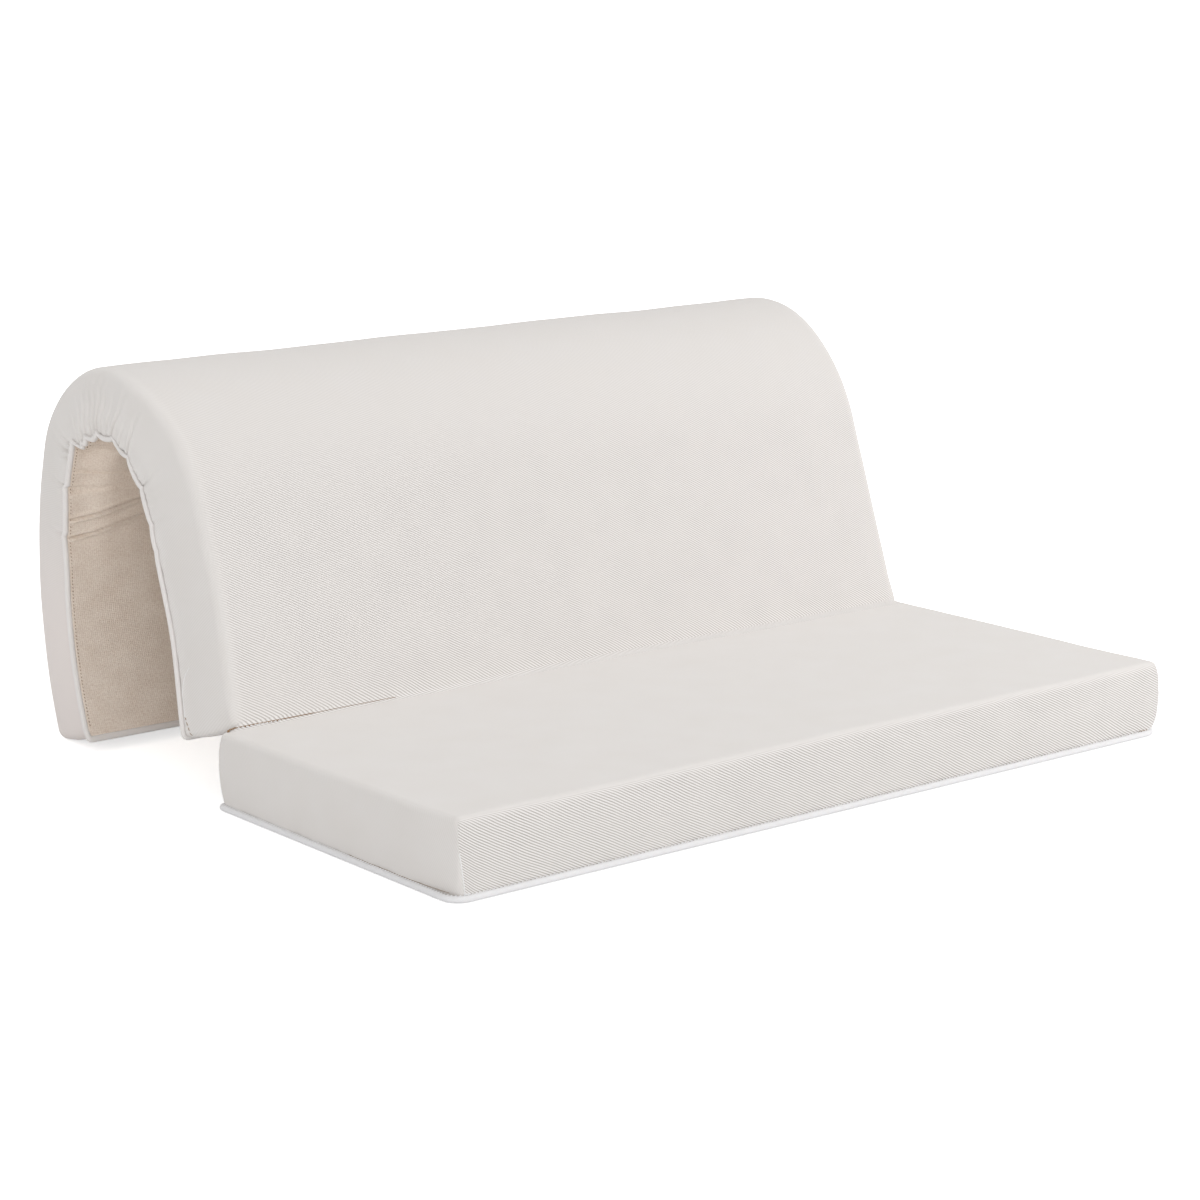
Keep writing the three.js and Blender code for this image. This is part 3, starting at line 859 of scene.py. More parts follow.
# Steps of the long straight runs and of the short ones, as shares of their length.
front_shares = even(0, 1, 0.004)[1:-1]
side_shares = even(0, 1, 0.01)[1:-1]
seat_outline = np.vstack(
    [
        corner_path(SEAT, -1, -1, math.pi),
        straight_path((-front_end, 0), (front_end, 0), (0, -1), front_shares),
        corner_path(SEAT, 1, -1, -math.pi / 2),
        straight_path((HALF_WIDTH, seat_near), (HALF_WIDTH, side_end), (1, 0), side_shares),
        corner_path(SEAT, 1, 1, 0),
        straight_path((rear_end, SEAT_DEPTH), (-rear_end, SEAT_DEPTH), (0, 1), front_shares),
        corner_path(SEAT, -1, 1, math.pi / 2),
        straight_path((-HALF_WIDTH, side_end), (-HALF_WIDTH, seat_near), (-1, 0), side_shares),
    ]
)
seat_bead = lay_piping(seat_outline, True)
reshape(seat_bead, place_on_seat)
seat_piping = add_piece("seat_piping_bead", seat_bead, seat_satin)
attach(seat_piping, "seat")
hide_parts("seat_piping")


# Seat seams
# White sewing thread closes the four corners and runs in slanting stitches along the
# piping. The brown thread of the inner overlock shows beside the piping at both ends.
THREAD_WHITE = (0.93, 0.93, 0.93, 1)
THREAD_WHITE_SHADE = (0.78, 0.77, 0.77, 1)
THREAD_BROWN = (0.36, 0.22, 0.11, 1)
THREAD_BROWN_SHADE = (0.18, 0.10, 0.05, 1)
THREAD_SIDES = 6
CORNER_THREAD = 0.0007
OVERLOCK_THREAD = 0.0006
FINE_THREAD = 0.0003
STITCH_PITCH = 0.006
STITCH_INSET = 0.0052
STITCH_LIFT = 0.0004
STITCH_SIZE = (0.0040, 0.0018, 0.0022)
STITCH_SLANT = math.radians(38)
# The corner seams: where they start below the top, where they end above the felt.
CORNER_SEAM_TOP = 0.048
CORNER_SEAM_FOOT = 0.009
CORNER_SEAM_STEPS = 24
# The knots that close each front corner's foot: their places and size.
KNOT_SHIFTS = (0.0, 0.0045, 0.0095)
KNOT_INSET = 0.003
KNOT_DROP = -0.1085
KNOT_RADIUS = 0.0016
# The overlock lies this high on the sides, over the piping.
OVERLOCK_HEIGHT = 0.0103
# Where it shows along the ends, and across the front at the right.
OVERLOCK_ALONG = (0.034, 0.26, 0.01)
OVERLOCK_ACROSS = (0.655, 0.676, 0.003)


def thread_finish(name, lit, shaded):
    """Twisted sewing thread, a little fuzzy."""
    finish = Finish(bpy.data.materials.new(name))
    place = finish.node("TexCoord", {}, {}, "Object")
    fuzz = finish.node("TexNoise", {}, {"Vector": place, "Scale": 1100, "Detail": 2})
    colour = finish.node("Mix", {"data_type": "RGBA"}, {0: fuzz, 6: shaded, 7: lit}, 2)
    finish.join(colour, "BSDF_PRINCIPLED", "Base Color")
    bump = finish.node("Bump", {}, {"Height": fuzz, "Strength": 0.5, "Distance": 0.0002})
    finish.join(bump, "BSDF_PRINCIPLED", "Normal")
    finish.tree.nodes["Principled BSDF"].inputs["Roughness"].default_value = 0.7
    return finish


def thread(route, radius, into):
    """A round thread along a route, closed at both ends."""
    steps = len(route) - 1
    travel = np.gradient(route, axis=0)
    travel /= np.linalg.norm(travel, axis=1)[:, None]
    side = np.cross(travel, (0.37, 0.21, 0.9))
    side /= np.linalg.norm(side, axis=1)[:, None]
    over = np.cross(side, travel)
    made = bmesh.ops.create_grid(into, x_segments=steps, y_segments=THREAD_SIDES, size=0.5)["verts"]
    for vert in made:
        place = round((vert.co.x + 0.5) * steps)
        turn = (vert.co.y + 0.5) * math.tau
        vert.co = route[place] + radius * (side[place] * math.cos(turn) + over[place] * math.sin(turn))
    bmesh.ops.remove_doubles(into, verts=made, dist=radius / 20)


def close_threads(threads):
    """Closes the ends of all threads of a mesh."""
    open_edges = [edge for edge in threads.edges if edge.is_boundary]
    bmesh.ops.holes_fill(threads, edges=open_edges, sides=0)
    bmesh.ops.recalc_face_normals(threads, faces=threads.faces[:])
    for face in threads.faces:
        face.smooth = True


def stitches(route, outward, pitch, size, slant, into):
    """A row of small stitches along a route, each turned by the slant off the row."""
    travel = np.concatenate([[0], np.cumsum(np.linalg.norm(np.diff(route, axis=0), axis=1))])

    def route_at(distance):
        """The place at a distance along the route."""
        return Vector([np.interp(distance, travel, route[:, axis]) for axis in range(3)])

    for distance in even(pitch / 2, travel[-1] - pitch / 2, pitch):
        along = (route_at(distance + pitch / 2) - route_at(distance - pitch / 2)).normalized()
        out = Vector([np.interp(distance, travel, outward[:, axis]) for axis in range(3)])
        across = out.cross(along).normalized()
        out = along.cross(across)
        way = along * math.cos(slant) + across * math.sin(slant)
        turn = Matrix((way, out.cross(way), out)).transposed().to_4x4()
        scale = Matrix.Diagonal((*size, 1))
        place = Matrix.Translation(route_at(distance))
        bmesh.ops.create_icosphere(into, subdivisions=1, radius=0.5, matrix=place @ turn @ scale)
    for face in into.faces:
        face.smooth = True


def points_of(x, s, z):
    """Points from their three coordinates, some of which are the same for all."""
    return np.stack(np.broadcast_arrays(x, s, z), axis=1).astype(float)


white_thread = thread_finish("white sewing thread", THREAD_WHITE, THREAD_WHITE_SHADE)
brown_thread = thread_finish("brown sewing thread", THREAD_BROWN, THREAD_BROWN_SHADE)

corner_threads = bmesh.new()
for side in (-1, 1):
    for near_end in (PIPING_PROUD, SEAT_DEPTH - PIPING_PROUD):
        drops = np.linspace(CORNER_SEAM_TOP, THICKNESS - CORNER_SEAM_FOOT, CORNER_SEAM_STEPS)
        route = points_of(side * KNIT_HALF, near_end, -drops)
        thread(seat_surface(route), CORNER_THREAD, corner_threads)
close_threads(corner_threads)
seat_corner_threads = add_piece("seat_corner_threads", corner_threads, white_thread)
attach(seat_corner_threads, "seat")

stitch_line = np.vstack([seat_outline, seat_outline[:1]])
stitch_x, stitch_s, out_x, out_s = stitch_line.T
stitch_places = points_of(
    stitch_x - out_x * STITCH_INSET, stitch_s - out_s * STITCH_INSET, PIPING_WIDTH + STITCH_LIFT
)
stitch_out = points_of(out_x, out_s, 1.2)
white_row = bmesh.new()
stitches(place_on_seat(stitch_places), stitch_out, STITCH_PITCH, STITCH_SIZE, STITCH_SLANT, white_row)
for side in (-1, 1):
    for shift in KNOT_SHIFTS:
        knot = np.array([[side * (KNIT_HALF - KNOT_INSET - shift), PIPING_PROUD, KNOT_DROP]])
        place = Matrix.Translation(Vector(seat_surface(knot)[0]))
        bmesh.ops.create_icosphere(white_row, subdivisions=1, radius=KNOT_RADIUS, matrix=place)
seat_stitches = add_piece("seat_piping_stitches", white_row, white_thread)
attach(seat_stitches, "seat")

overlock = bmesh.new()
for side in (-1, 1):
    route = points_of(side * KNIT_HALF, even(*OVERLOCK_ALONG), OVERLOCK_HEIGHT - THICKNESS)
    thread(seat_surface(route), FINE_THREAD, overlock)
route = points_of(even(*OVERLOCK_ACROSS), PIPING_PROUD, OVERLOCK_HEIGHT - THICKNESS)
thread(seat_surface(route), OVERLOCK_THREAD, overlock)
close_threads(overlock)
seat_overlock = add_piece("seat_overlock_thread", overlock, brown_thread)
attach(seat_overlock, "seat")


# Back foam core
# The same foam in one long slab. It bends over the sofa's backrest: a straight front
# panel, a wide bend, the crown and a rear panel. It is parted half way between bends.
BACK_TILT = math.radians(19.2)
FOLD_PLACE = (0.2892, 0.1172)
STRAIGHT_LENGTH = 0.336
FRONT_ARC = (0.305, math.radians(34))
CROWN_ARC = (0.211, math.radians(110))
REAR_ARC_RADIUS = 0.752
END_HEADING = math.radians(200.29677)
SAME_HEADING = 1e-9
FOOT_SLANT = 0.018
BACK_TOP_INSET = 0.022
FOLD_TOP_INSET = 0.001
# How far the felt side draws in from the ends, how much less past the crown, and
# between which distances from the fold it does so.
FELT_DRAW_IN = 0.020
FELT_DRAW_IN_ALONG = (-0.04, 0.20)
FELT_LET_OUT = 0.010
FELT_LET_OUT_ALONG = (0.80, 0.98)
# The front panel stands further in on its outer side as well, at the left end again less
# behind the crown.
OUTER_DRAW_IN = 0.027
OUTER_DRAW_IN_ALONG = (-0.15, 0.25)
OUTER_LET_OUT = 0.021
OUTER_LET_OUT_ALONG = (0.42, 0.60)
REAR_LET_OUT = 0.006
REAR_LET_OUT_ALONG = (0.72, 0.90)
BACK_FOAM_STEP = 0.012
# The bevel that makes room for the gathers: its height, and where it starts and ends.
FOAM_BEVEL = 0.016
BEVEL_ACROSS = (0.59, 0.645)
BEVEL_UP = (0.004, 0.08)

BEND_TURN = (END_HEADING - BACK_TILT) / 9
crown_end = BACK_TILT + FRONT_ARC[1] + CROWN_ARC[1]
STRETCHES = (
    (STRAIGHT_LENGTH, 0.0),
    (FRONT_ARC[0] * FRONT_ARC[1], FRONT_ARC[1]),
    (CROWN_ARC[0] * CROWN_ARC[1], CROWN_ARC[1]),
    (REAR_ARC_RADIUS * (END_HEADING - crown_end), END_HEADING - crown_end),
)
BACK_LENGTH = sum(length for length, _ in STRETCHES)
BACK = {
    "length": BACK_LENGTH,
    "top_inset": BACK_TOP_INSET,
    "near_inset": FOLD_TOP_INSET,
    "far_inset": SEAT_TOP_INSET,
    "edge_radius": EDGE_RADIUS,
    "near_radius": FOLD_EDGE_RADIUS,
    "far_radius": EDGE_RADIUS,
    "corner_power": 2.0,
    "near_corner": 0.012,
    "far_corner": 0.011,
    "crown": 0.0,
}


def course_at(distance):
    """Place and heading of the back's outer face at distances along it from the fold."""
    y = np.full_like(distance, FOLD_PLACE[0])
    z = np.full_like(distance, FOLD_PLACE[1])
    heading = np.full_like(distance, BACK_TILT)
    left = distance.copy()
    for order, (length, turn) in enumerate(STRETCHES):
        part = np.minimum(left, length) if order == 0 else np.clip(left, 0, length)
        if turn == 0:
            y += part * np.sin(heading)
            z += part * np.cos(heading)
        else:
            radius = length / turn
            turned = heading + part / radius
            y += radius * (np.cos(heading) - np.cos(turned))
            z += radius * (np.sin(turned) - np.sin(heading))
            heading = turned
        left = left - part
    return y + left * np.sin(heading), z + left * np.cos(heading), heading


def distance_at(heading):
    """How far along the back its face has turned to a heading."""
    distance = 0.0
    start = BACK_TILT
    for length, turn in STRETCHES:
        if turn and heading <= start + turn + SAME_HEADING:
            return distance + (heading - start) / turn * length
        start += turn
        distance += length
    return distance


# Where the inner edge is gathered at the left end: distance from the fold, pull, and how
# far it reaches towards the fold and away from it. Between them the edge hangs in scallops.
PINCHES = (
    (0.293, 0.30, 0.010, 0.010),
    (0.333, 0.45, 0.014, 0.014),
    (0.424, 0.60, 0.016, 0.016),
    (0.510, 0.95, 0.018, 0.018),
    (0.598, 0.90, 0.020, 0.020),
    (0.688, 0.85, 0.014, 0.020),
    (0.759, 1.00, 0.018, 0.018),
    (0.790, 0.80, 0.013, 0.012),
    (0.824, 2.30, 0.013, 0.078),
    (0.944, 1.00, 0.006, 0.034),
    (1.038, 0.60, 0.008, 0.030),
)
# Creases of the end face: place at the piping, place 80 mm above it, depth and reach.
CREASES = (
    (0.333, 0.340, 0.0024, 0.034),
    (0.424, 0.438, 0.0034, 0.040),
    (0.510, 0.542, 0.0052, 0.055),
    (0.560, 0.556, 0.0026, 0.040),
    (0.598, 0.584, 0.0052, 0.064),
    (0.632, 0.610, 0.0036, 0.056),
    (0.662, 0.640, 0.0036, 0.060),
    (0.686, 0.660, 0.0052, 0.066),
    (0.708, 0.684, 0.0042, 0.064),
    (0.732, 0.706, 0.0040, 0.066),
    (0.757, 0.728, 0.0052, 0.070),
    (0.782, 0.752, 0.0040, 0.058),
    (0.806, 0.782, 0.0036, 0.052),
    (0.836, 0.862, 0.0060, 0.045),
    (0.856, 0.884, 0.0060, 0.052),
    (0.876, 0.902, 0.0036, 0.036),
    (0.944, 0.953, 0.0046, 0.045),
    (1.038, 1.043, 0.0036, 0.040),
)
PINCH_LIFT = 0.011
SCALLOP_LIFT = 0.005
# The stretch along which the edge is gathered: where it sets in and where it ends.
GATHER_START = (0.30, 0.42)
GATHER_END = (0.98, 1.12)
SCALLOP_START = (0.48, 0.62)
# How far over the felt side the gathered edge is lifted, and how far up.
LIFT_ACROSS = (HALF_WIDTH - 0.075, HALF_WIDTH - 0.02)
LIFT_UP = (0.004, 0.06)
# The end face, where it starts across, and its lower edge above and beside the piping.
FACE_ACROSS = (HALF_WIDTH - 0.06, HALF_WIDTH - 0.028)
ABOVE_PIPING = (0.005, 0.014)
BESIDE_PIPING = (0.006, 0.012)
# A crease is this wide at the piping and widens upwards, to its second place at this
# height. Its shoulders stand out beside it.
CREASE_WIDTH = 0.0028
CREASE_WIDENING = 0.026
CREASE_HEIGHT = 0.08
CREASE_SHOULDER = 0.45
SHOULDER_PLACE = 1.9
SHOULDER_WIDTH = 1.1
# Small pleats between the creases: depth, pitch and how far up they fade.
PLEAT_DEPTH = 0.0009
PLEAT_PITCH = 0.021
PLEAT_FADE = 0.022
# The roll of cloth above the piping: how far it stands out, its height and half width.
PUFF = 0.0022
PUFF_OVER_BEAD = 0.0024
FULL_PUFF_START = (0.42, 0.50)
FULL_PUFF_END = (0.66, 0.72)
PUFF_HEIGHT = 0.03
PUFF_REACH = 0.026
# On the front panel it is narrow, and the cloth is tucked in at the piping.
FRONT_PUFF = 0.0020
FRONT_PUFF_HEIGHT = 0.014
FRONT_PUFF_REACH = 0.008
FRONT_TUCK = 0.0016
FRONT_PANEL_END = (0.55, 0.72)
# How far the right end's gathers are shifted against the left end's.
RIGHT_SHIFT = 0.014
RIGHT_SWAY = 0.012


def other_end(along, x):
    """The right end is gathered a little differently from the left one."""
    return np.where(x > 0, along + RIGHT_SHIFT + RIGHT_SWAY * np.sin(along * 23), along)


def gather_up(points):
    """Draws the felt side's edges together where the back bends: the edge is lifted at
    each pinch, and creases fan out over the end face from there."""
    x, s, u = points.T
    place = other_end(s, x)
    rise = np.clip(u - PIPING_WIDTH / 2, 0, None)
    bent = smooth(s, *GATHER_START) * (1 - smooth(s, *GATHER_END))
    pinch = np.zeros_like(s)
    for middle, pull, before, after in PINCHES:
        reach = np.where(place < middle, before, after)
        pinch = np.maximum(pinch, pull * np.exp(-np.abs(place - middle) / reach))
    lift = PINCH_LIFT * pinch + SCALLOP_LIFT * bent * smooth(s, *SCALLOP_START)
    by_edge = smooth(np.abs(x), *LIFT_ACROSS)
    low = 1 - smooth(u, *LIFT_UP)
    up = u + lift * by_edge * low
    inward = np.zeros_like(s)
    for start, end, depth, reach in CREASES:
        middle = start + (end - start) * rise / CREASE_HEIGHT
        width = CREASE_WIDTH + CREASE_WIDENING * rise
        side = (place - middle) / width
        shown = depth * np.exp(-((rise / reach) ** 2))
        shoulder = np.exp(-(((np.abs(side) - SHOULDER_PLACE) / SHOULDER_WIDTH) ** 2))
        inward += shown * (np.exp(-(side**2)) - CREASE_SHOULDER * shoulder)
    pleat_wave = np.sin(place * (math.tau / PLEAT_PITCH) + 3 * np.sin(place * 31))
    pleats = PLEAT_DEPTH * bent * np.exp(-rise / PLEAT_FADE) * pleat_wave
    over_bead = smooth(s, *FULL_PUFF_START) * (1 - smooth(s, *FULL_PUFF_END))
    roll = np.exp(-(((rise - PUFF_HEIGHT) / PUFF_REACH) ** 2))
    puff = (PUFF + PUFF_OVER_BEAD * over_bead) * bent * roll
    on_front_panel = 1 - smooth(s, *FRONT_PANEL_END)
    front_roll = np.exp(-(((u - FRONT_PUFF_HEIGHT) / FRONT_PUFF_REACH) ** 2))
    puff += FRONT_PUFF * on_front_panel * front_roll
    on_face = smooth(np.abs(x), *FACE_ACROSS)
    above_bead = smooth(u, *ABOVE_PIPING)
    tuck = FRONT_TUCK * on_front_panel * (1 - smooth(u, *BESIDE_PIPING))
    across = x - np.sign(x) * on_face * (above_bead * (inward + pleats - puff) + tuck)
    return np.stack([across, s, up], axis=1)


def place_on_back(points):
    """Bends the flat back along its course. The felt side draws in from the ends."""
    x, s, u = gather_up(points).T
    depth = THICKNESS - u
    slant = FOOT_SLANT * smooth(s, BACK_LENGTH - THICKNESS, BACK_LENGTH)
    felt_inset = FELT_DRAW_IN * smooth(s, *FELT_DRAW_IN_ALONG)
    felt_inset = felt_inset - FELT_LET_OUT * smooth(s, *FELT_LET_OUT_ALONG)
    outer_inset = OUTER_DRAW_IN * smooth(s, *OUTER_DRAW_IN_ALONG)
    outer_inset = outer_inset - OUTER_LET_OUT * smooth(s, *OUTER_LET_OUT_ALONG)
    outer_inset = outer_inset - REAR_LET_OUT * smooth(s, *REAR_LET_OUT_ALONG)
    outer_inset = np.where(x < 0, outer_inset, 0)
    inset = outer_inset + (felt_inset - outer_inset) * (depth / THICKNESS)
    y, z, heading = course_at(s + slant * (depth / THICKNESS))
    across = x * (1 - inset / HALF_WIDTH)
    down = np.maximum(z - depth * np.sin(heading), 0)
    return np.stack([across, y + depth * np.cos(heading), down], axis=1)


# The back's nine pieces. Each crosses one bend, and its ends lie half way between two
# bends, square to the course.
BODIES = ["front_panel"] + [f"bend_{order}" for order in range(1, 9)] + ["rear_panel"]
CUTS = [distance_at(BACK_TILT + order * BEND_TURN) for order in range(1, 9)]
SPANS = list(zip([0.0] + CUTS, CUTS + [BACK_LENGTH]))
HINGES = {joint["name"]: Vector(joint["pos_m"]) for joint in frame["joints"]}


def felt_side_at(distance):
    """The middle of the felt side at a distance along the back."""
    return Vector(place_on_back(np.array([[0.0, distance, 0.0]]))[0])


def bend_piece(piece, order):
    """Bakes the place of one of the nine pieces into its mesh."""
    hinge = HINGES[f"flex_{order}"]
    heading = BACK_TILT + (order - 0.5) * BEND_TURN
    course = Vector((0, math.sin(heading), math.cos(heading)))
    if order > 1:
        (hinge - felt_side_at(SPANS[order - 1][0])).dot(course)
    if order < 9:
        (felt_side_at(SPANS[order - 1][1]) - hinge).dot(course)
    BODIES[order - 1]
    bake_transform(piece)


def replaced(order, layers):
    """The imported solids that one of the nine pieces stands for."""
    spot = "rear_panel" if order == 9 else f"bend_{order}"
    names = [f"{spot}_{layer}" for layer in layers]
    if order == 1:
        names += [f"front_panel_{layer}" for layer in layers[:1]]
    return names


def clear_gathers(points):
    """Bevels the foam's lower edges, which the gathered felt presses in."""
    x, s, u = points.T
    bevel = FOAM_BEVEL * smooth(np.abs(x), *BEVEL_ACROSS) * (1 - smooth(u, *BEVEL_UP))
    return np.stack([x, s, u + bevel], axis=1)


for order, (near, far) in enumerate(SPANS, 1):
    first = near + PIPING_PROUD + FOAM_EASE if order == 1 else near
    last = far - PIPING_PROUD - FOAM_EASE if order == 9 else far
    slab = foam_block(first, last, order == 1, order == 9, BACK_FOAM_STEP)
    reshape(slab, lambda points: place_on_back(clear_gathers(draw_in(points, BACK))))
    core = add_piece(f"back_foam_core_{order}", slab, foam_finish)
    bend_piece(core, order)
    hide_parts(*replaced(order, ["foam"]))


# Back cover
# The same knit over the back, from the fold to the rear foot. Its ends are gathered
# into the piping where the back bends, so that they fold in small creases there.
BACK_RIB_SLOPE = 0.585
BACK_RIB_GAIN = 0.05
BACK_RIB_SHARE = 0.64
CUT_OVERLAP = 0.0003
CUT_TUCK = 0.0001
# Grid steps of the covers. Rows are this fine at a cut, and then the widest and their
# growth differ between the flat pieces and the bent ones.
BACK_COLUMN_STEPS = (0.0018, 0.016, 1.2)
EVEN_DROPS_FROM = 0.05
EVEN_DROP = 0.0026
CUT_ROW = 0.0006
FLAT_ROWS = (0.005, 1.35)
BENT_ROWS = (0.0018, 1.6)
# Its waves, with depth and size, which set in above the fold.
BACK_SIDE_WAVES = (0.0008, 0.15)
BACK_TOP_WAVES = (0.0010, 0.37)
BACK_TOP_RIPPLES = (0.0004, 0.13)
BACK_WAVES_START = (0.02, 0.08)
back_knit = knit_finish("back knit", BACK_RIB_SLOPE, BACK_RIB_GAIN, BACK_RIB_SHARE, False)
back_columns = graded(-KNIT_HALF, KNIT_HALF, *BACK_COLUMN_STEPS)
upper_drops = graded(0, EVEN_DROPS_FROM, *DROP_STEPS)[1:-8]
lower_drops = even(EVEN_DROPS_FROM, KNIT_DROP, EVEN_DROP)
back_drops = np.concatenate([upper_drops, lower_drops])


def soften_back(points):
    """Shallow unevenness of the back's faces, and puckers along its piping."""
    x, s, u = points.T
    rise = np.clip(u - PIPING_WIDTH, 0, None)
    on_top = smooth(u, THICKNESS - 0.02, THICKNESS)
    on_side = smooth(np.abs(x), HALF_WIDTH - 0.04, HALF_WIDTH - 0.025) * (1 - on_top)
    pucker = np.exp(-rise / PUCKER_FADE) * ripple(s, 0, *SIDE_PUCKERS)
    across = x + np.sign(x) * on_side * (pucker + ripple(s, 0.7 * u, *BACK_SIDE_WAVES))
    inside = smooth(s, *BACK_WAVES_START)
    waves = ripple(x, s, *BACK_TOP_WAVES) + ripple(s, x, *BACK_TOP_RIPPLES)
    up = u + on_top * inside * waves
    return np.stack([across, s, up], axis=1)


def back_shape(points):
    """From the flat cloth to the back's outer face, laid out straight."""
    return soften_back(draw_in(round_over(points, BACK), BACK))


def back_surface(points):
    """From the flat cloth to the back's outer face, bent along its course."""
    return place_on_back(back_shape(points))


def back_rows(order, near, far, step, growth):
    """Rows of one piece from cut to cut, and one more that tucks under the next piece."""
    first = near + PIPING_PROUD if order == 1 else near
    last = far - PIPING_PROUD if order == 9 else far
    rows = graded(first, last, CUT_ROW, step, growth)
    return rows if order == 9 else np.append(rows, last + CUT_OVERLAP)


def mark_cut(cloth, far):
    """Keeps the strip past the cut out of the shading of the cloth before it."""
    for edge in cloth.edges:
        edge.smooth = any(abs(vert.co.y - far) > SAME_PLACE for vert in edge.verts)


def tuck_under(points, shaped, order, far):
    """Draws what goes past the cut in a little, so that no light shows between pieces."""
    past = CUT_TUCK * ((points[:, 1] > far + CUT_OVERLAP / 2) & (order < 9))
    x, s, u = shaped.T
    inward = np.where(u > THICKNESS / 2, -past, past)
    return np.stack([x - np.sign(x) * past, s, u + inward], axis=1)


for order, (near, far) in enumerate(SPANS, 1):
    rows = back_rows(order, near, far, *(FLAT_ROWS if order in (1, 9) else BENT_ROWS))
    cloth = box_cloth(back_columns, rows, back_drops, order == 1, order == 9)
    mark_cut(cloth, far)
    reshape(cloth, lambda points: place_on_back(tuck_under(points, back_shape(points), order, far)))
    thicken(cloth, KNIT_THICKNESS)
    cover = add_piece(f"back_cover_{order}", cloth, back_knit)
    bend_piece(cover, order)
    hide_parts(*replaced(order, ["knit_cover"]))


# Back felt
# The same felt up the inside of the arch. Where the back bends it is too long for the
# inner side, so that it lies in a few shallow folds across.
FELT_COLUMN_STEPS = (0.002, 0.014, 1.12)
FELT_ROWS = (0.0035, 1.8)
FOLDED_ROWS = (0.0016, 1.8)
FELT_WAVES = (0.0005, 0.09)
FOLD_SINK = 0.0032
# The first piece is mostly straight, so that its felt is hardly shorter than its knit.
FIRST_INNER_SHARE = 0.9
# The folds: place at the left edge, how far it runs in, its slant, height and half width.
FELT_FOLDS = (
    (1.006, 0.26, -0.20, 0.0050, 0.0045),
    (1.042, 0.12, -0.22, 0.0058, 0.0042),
    (0.952, 0.10, -0.12, 0.0022, 0.0080),
    (0.900, 0.09, 0.10, 0.0020, 0.0080),
    (0.640, 0.16, 0.10, 0.0018, 0.0100),
)


def fold_felt(points):
    """Raises the felt in folds that start at the left edge and run out inwards."""
    x, s, u = points.T
    raised = ripple(x, s, *FELT_WAVES) * smooth(s, 0.05, 0.1)
    for place, reach, slant, height, width in FELT_FOLDS:
        for side in (-1, 1):
            from_edge = HALF_WIDTH + side * x
            course = place + slant * from_edge + 0.003 * np.sin(from_edge * 40)
            fading = np.exp(-((from_edge / reach) ** 2)) * smooth(from_edge, 0.004, 0.02)
            offset = (s - course) / width
            below = np.exp(-((np.maximum(offset, 0) - 1) ** 2) * 2)
            above = 0.5 * np.exp(-((np.maximum(-offset, 0) - 1) ** 2))
            ridge = np.where(offset > 0, below, above) - 0.9 * np.exp(-((offset / 0.35) ** 2))
            raised += height * fading * ridge
    return np.stack([x, s, u - np.maximum(raised, -FOLD_SINK)], axis=1)


for order, (near, far) in enumerate(SPANS, 1):
    rows = back_rows(order, near, far, *(FOLDED_ROWS if order == 8 else FELT_ROWS))
    underlay = felt_cloth(graded(-KNIT_HALF, KNIT_HALF, *FELT_COLUMN_STEPS), rows, BACK)
    mark_cut(underlay, far)
    reshape(underlay, lambda points: place_on_back(tuck_under(points, fold_felt(points), order, far)))
    thicken(underlay, FELT_THICKNESS)
    felt = add_piece(f"back_felt_{order}", underlay, felt_finish)
    bend_piece(felt, order)
    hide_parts(*replaced(order, ["felt"]))
    inner_share = 1 - THICKNESS * (BEND_TURN / (far - near)) if order > 1 else FIRST_INNER_SHARE
    (rows[-1] - rows[0]) * inner_share


# Back piping
# The same piping round the back. It is drawn up into the gathers at the crown, and
# runs round both feet.
BEAD_STEPS = (CUT_ROW, 0.002, 1.6)
FRONT_FOOT_SUNK = 0.0045
FRONT_FOOT_ALONG = (0.004, 0.035)
REAR_FOOT_ALONG = (0.010, 0.022)
REAR_FOOT_WIDER = 0.003
REAR_FOOT_PROUD = 0.0018


def side_run(side, near, far):
    """The outer line along one side, between two places."""
    places = graded(near, far, *BEAD_STEPS)
    run = np.zeros((len(places), 4))
    run[:, 0] = side * HALF_WIDTH
    run[:, 1] = places
    run[:, 2] = side
    return run


def shape_feet(points):
    """Sinks the bead into the front foot's edge, and widens it along the rear foot."""
    x, s, u = points.T
    sunk = FRONT_FOOT_SUNK * (1 - smooth(s, *FRONT_FOOT_ALONG))
    to_foot = BACK_LENGTH - s
    at_rear = 1 - smooth(to_foot, *REAR_FOOT_ALONG)
    inner = np.clip((to_foot - 0.005) / 0.0025, 0, 1)
    along = s + sunk - REAR_FOOT_WIDER * at_rear * inner
    return np.stack([x, along, u - REAR_FOOT_PROUD * at_rear], axis=1)


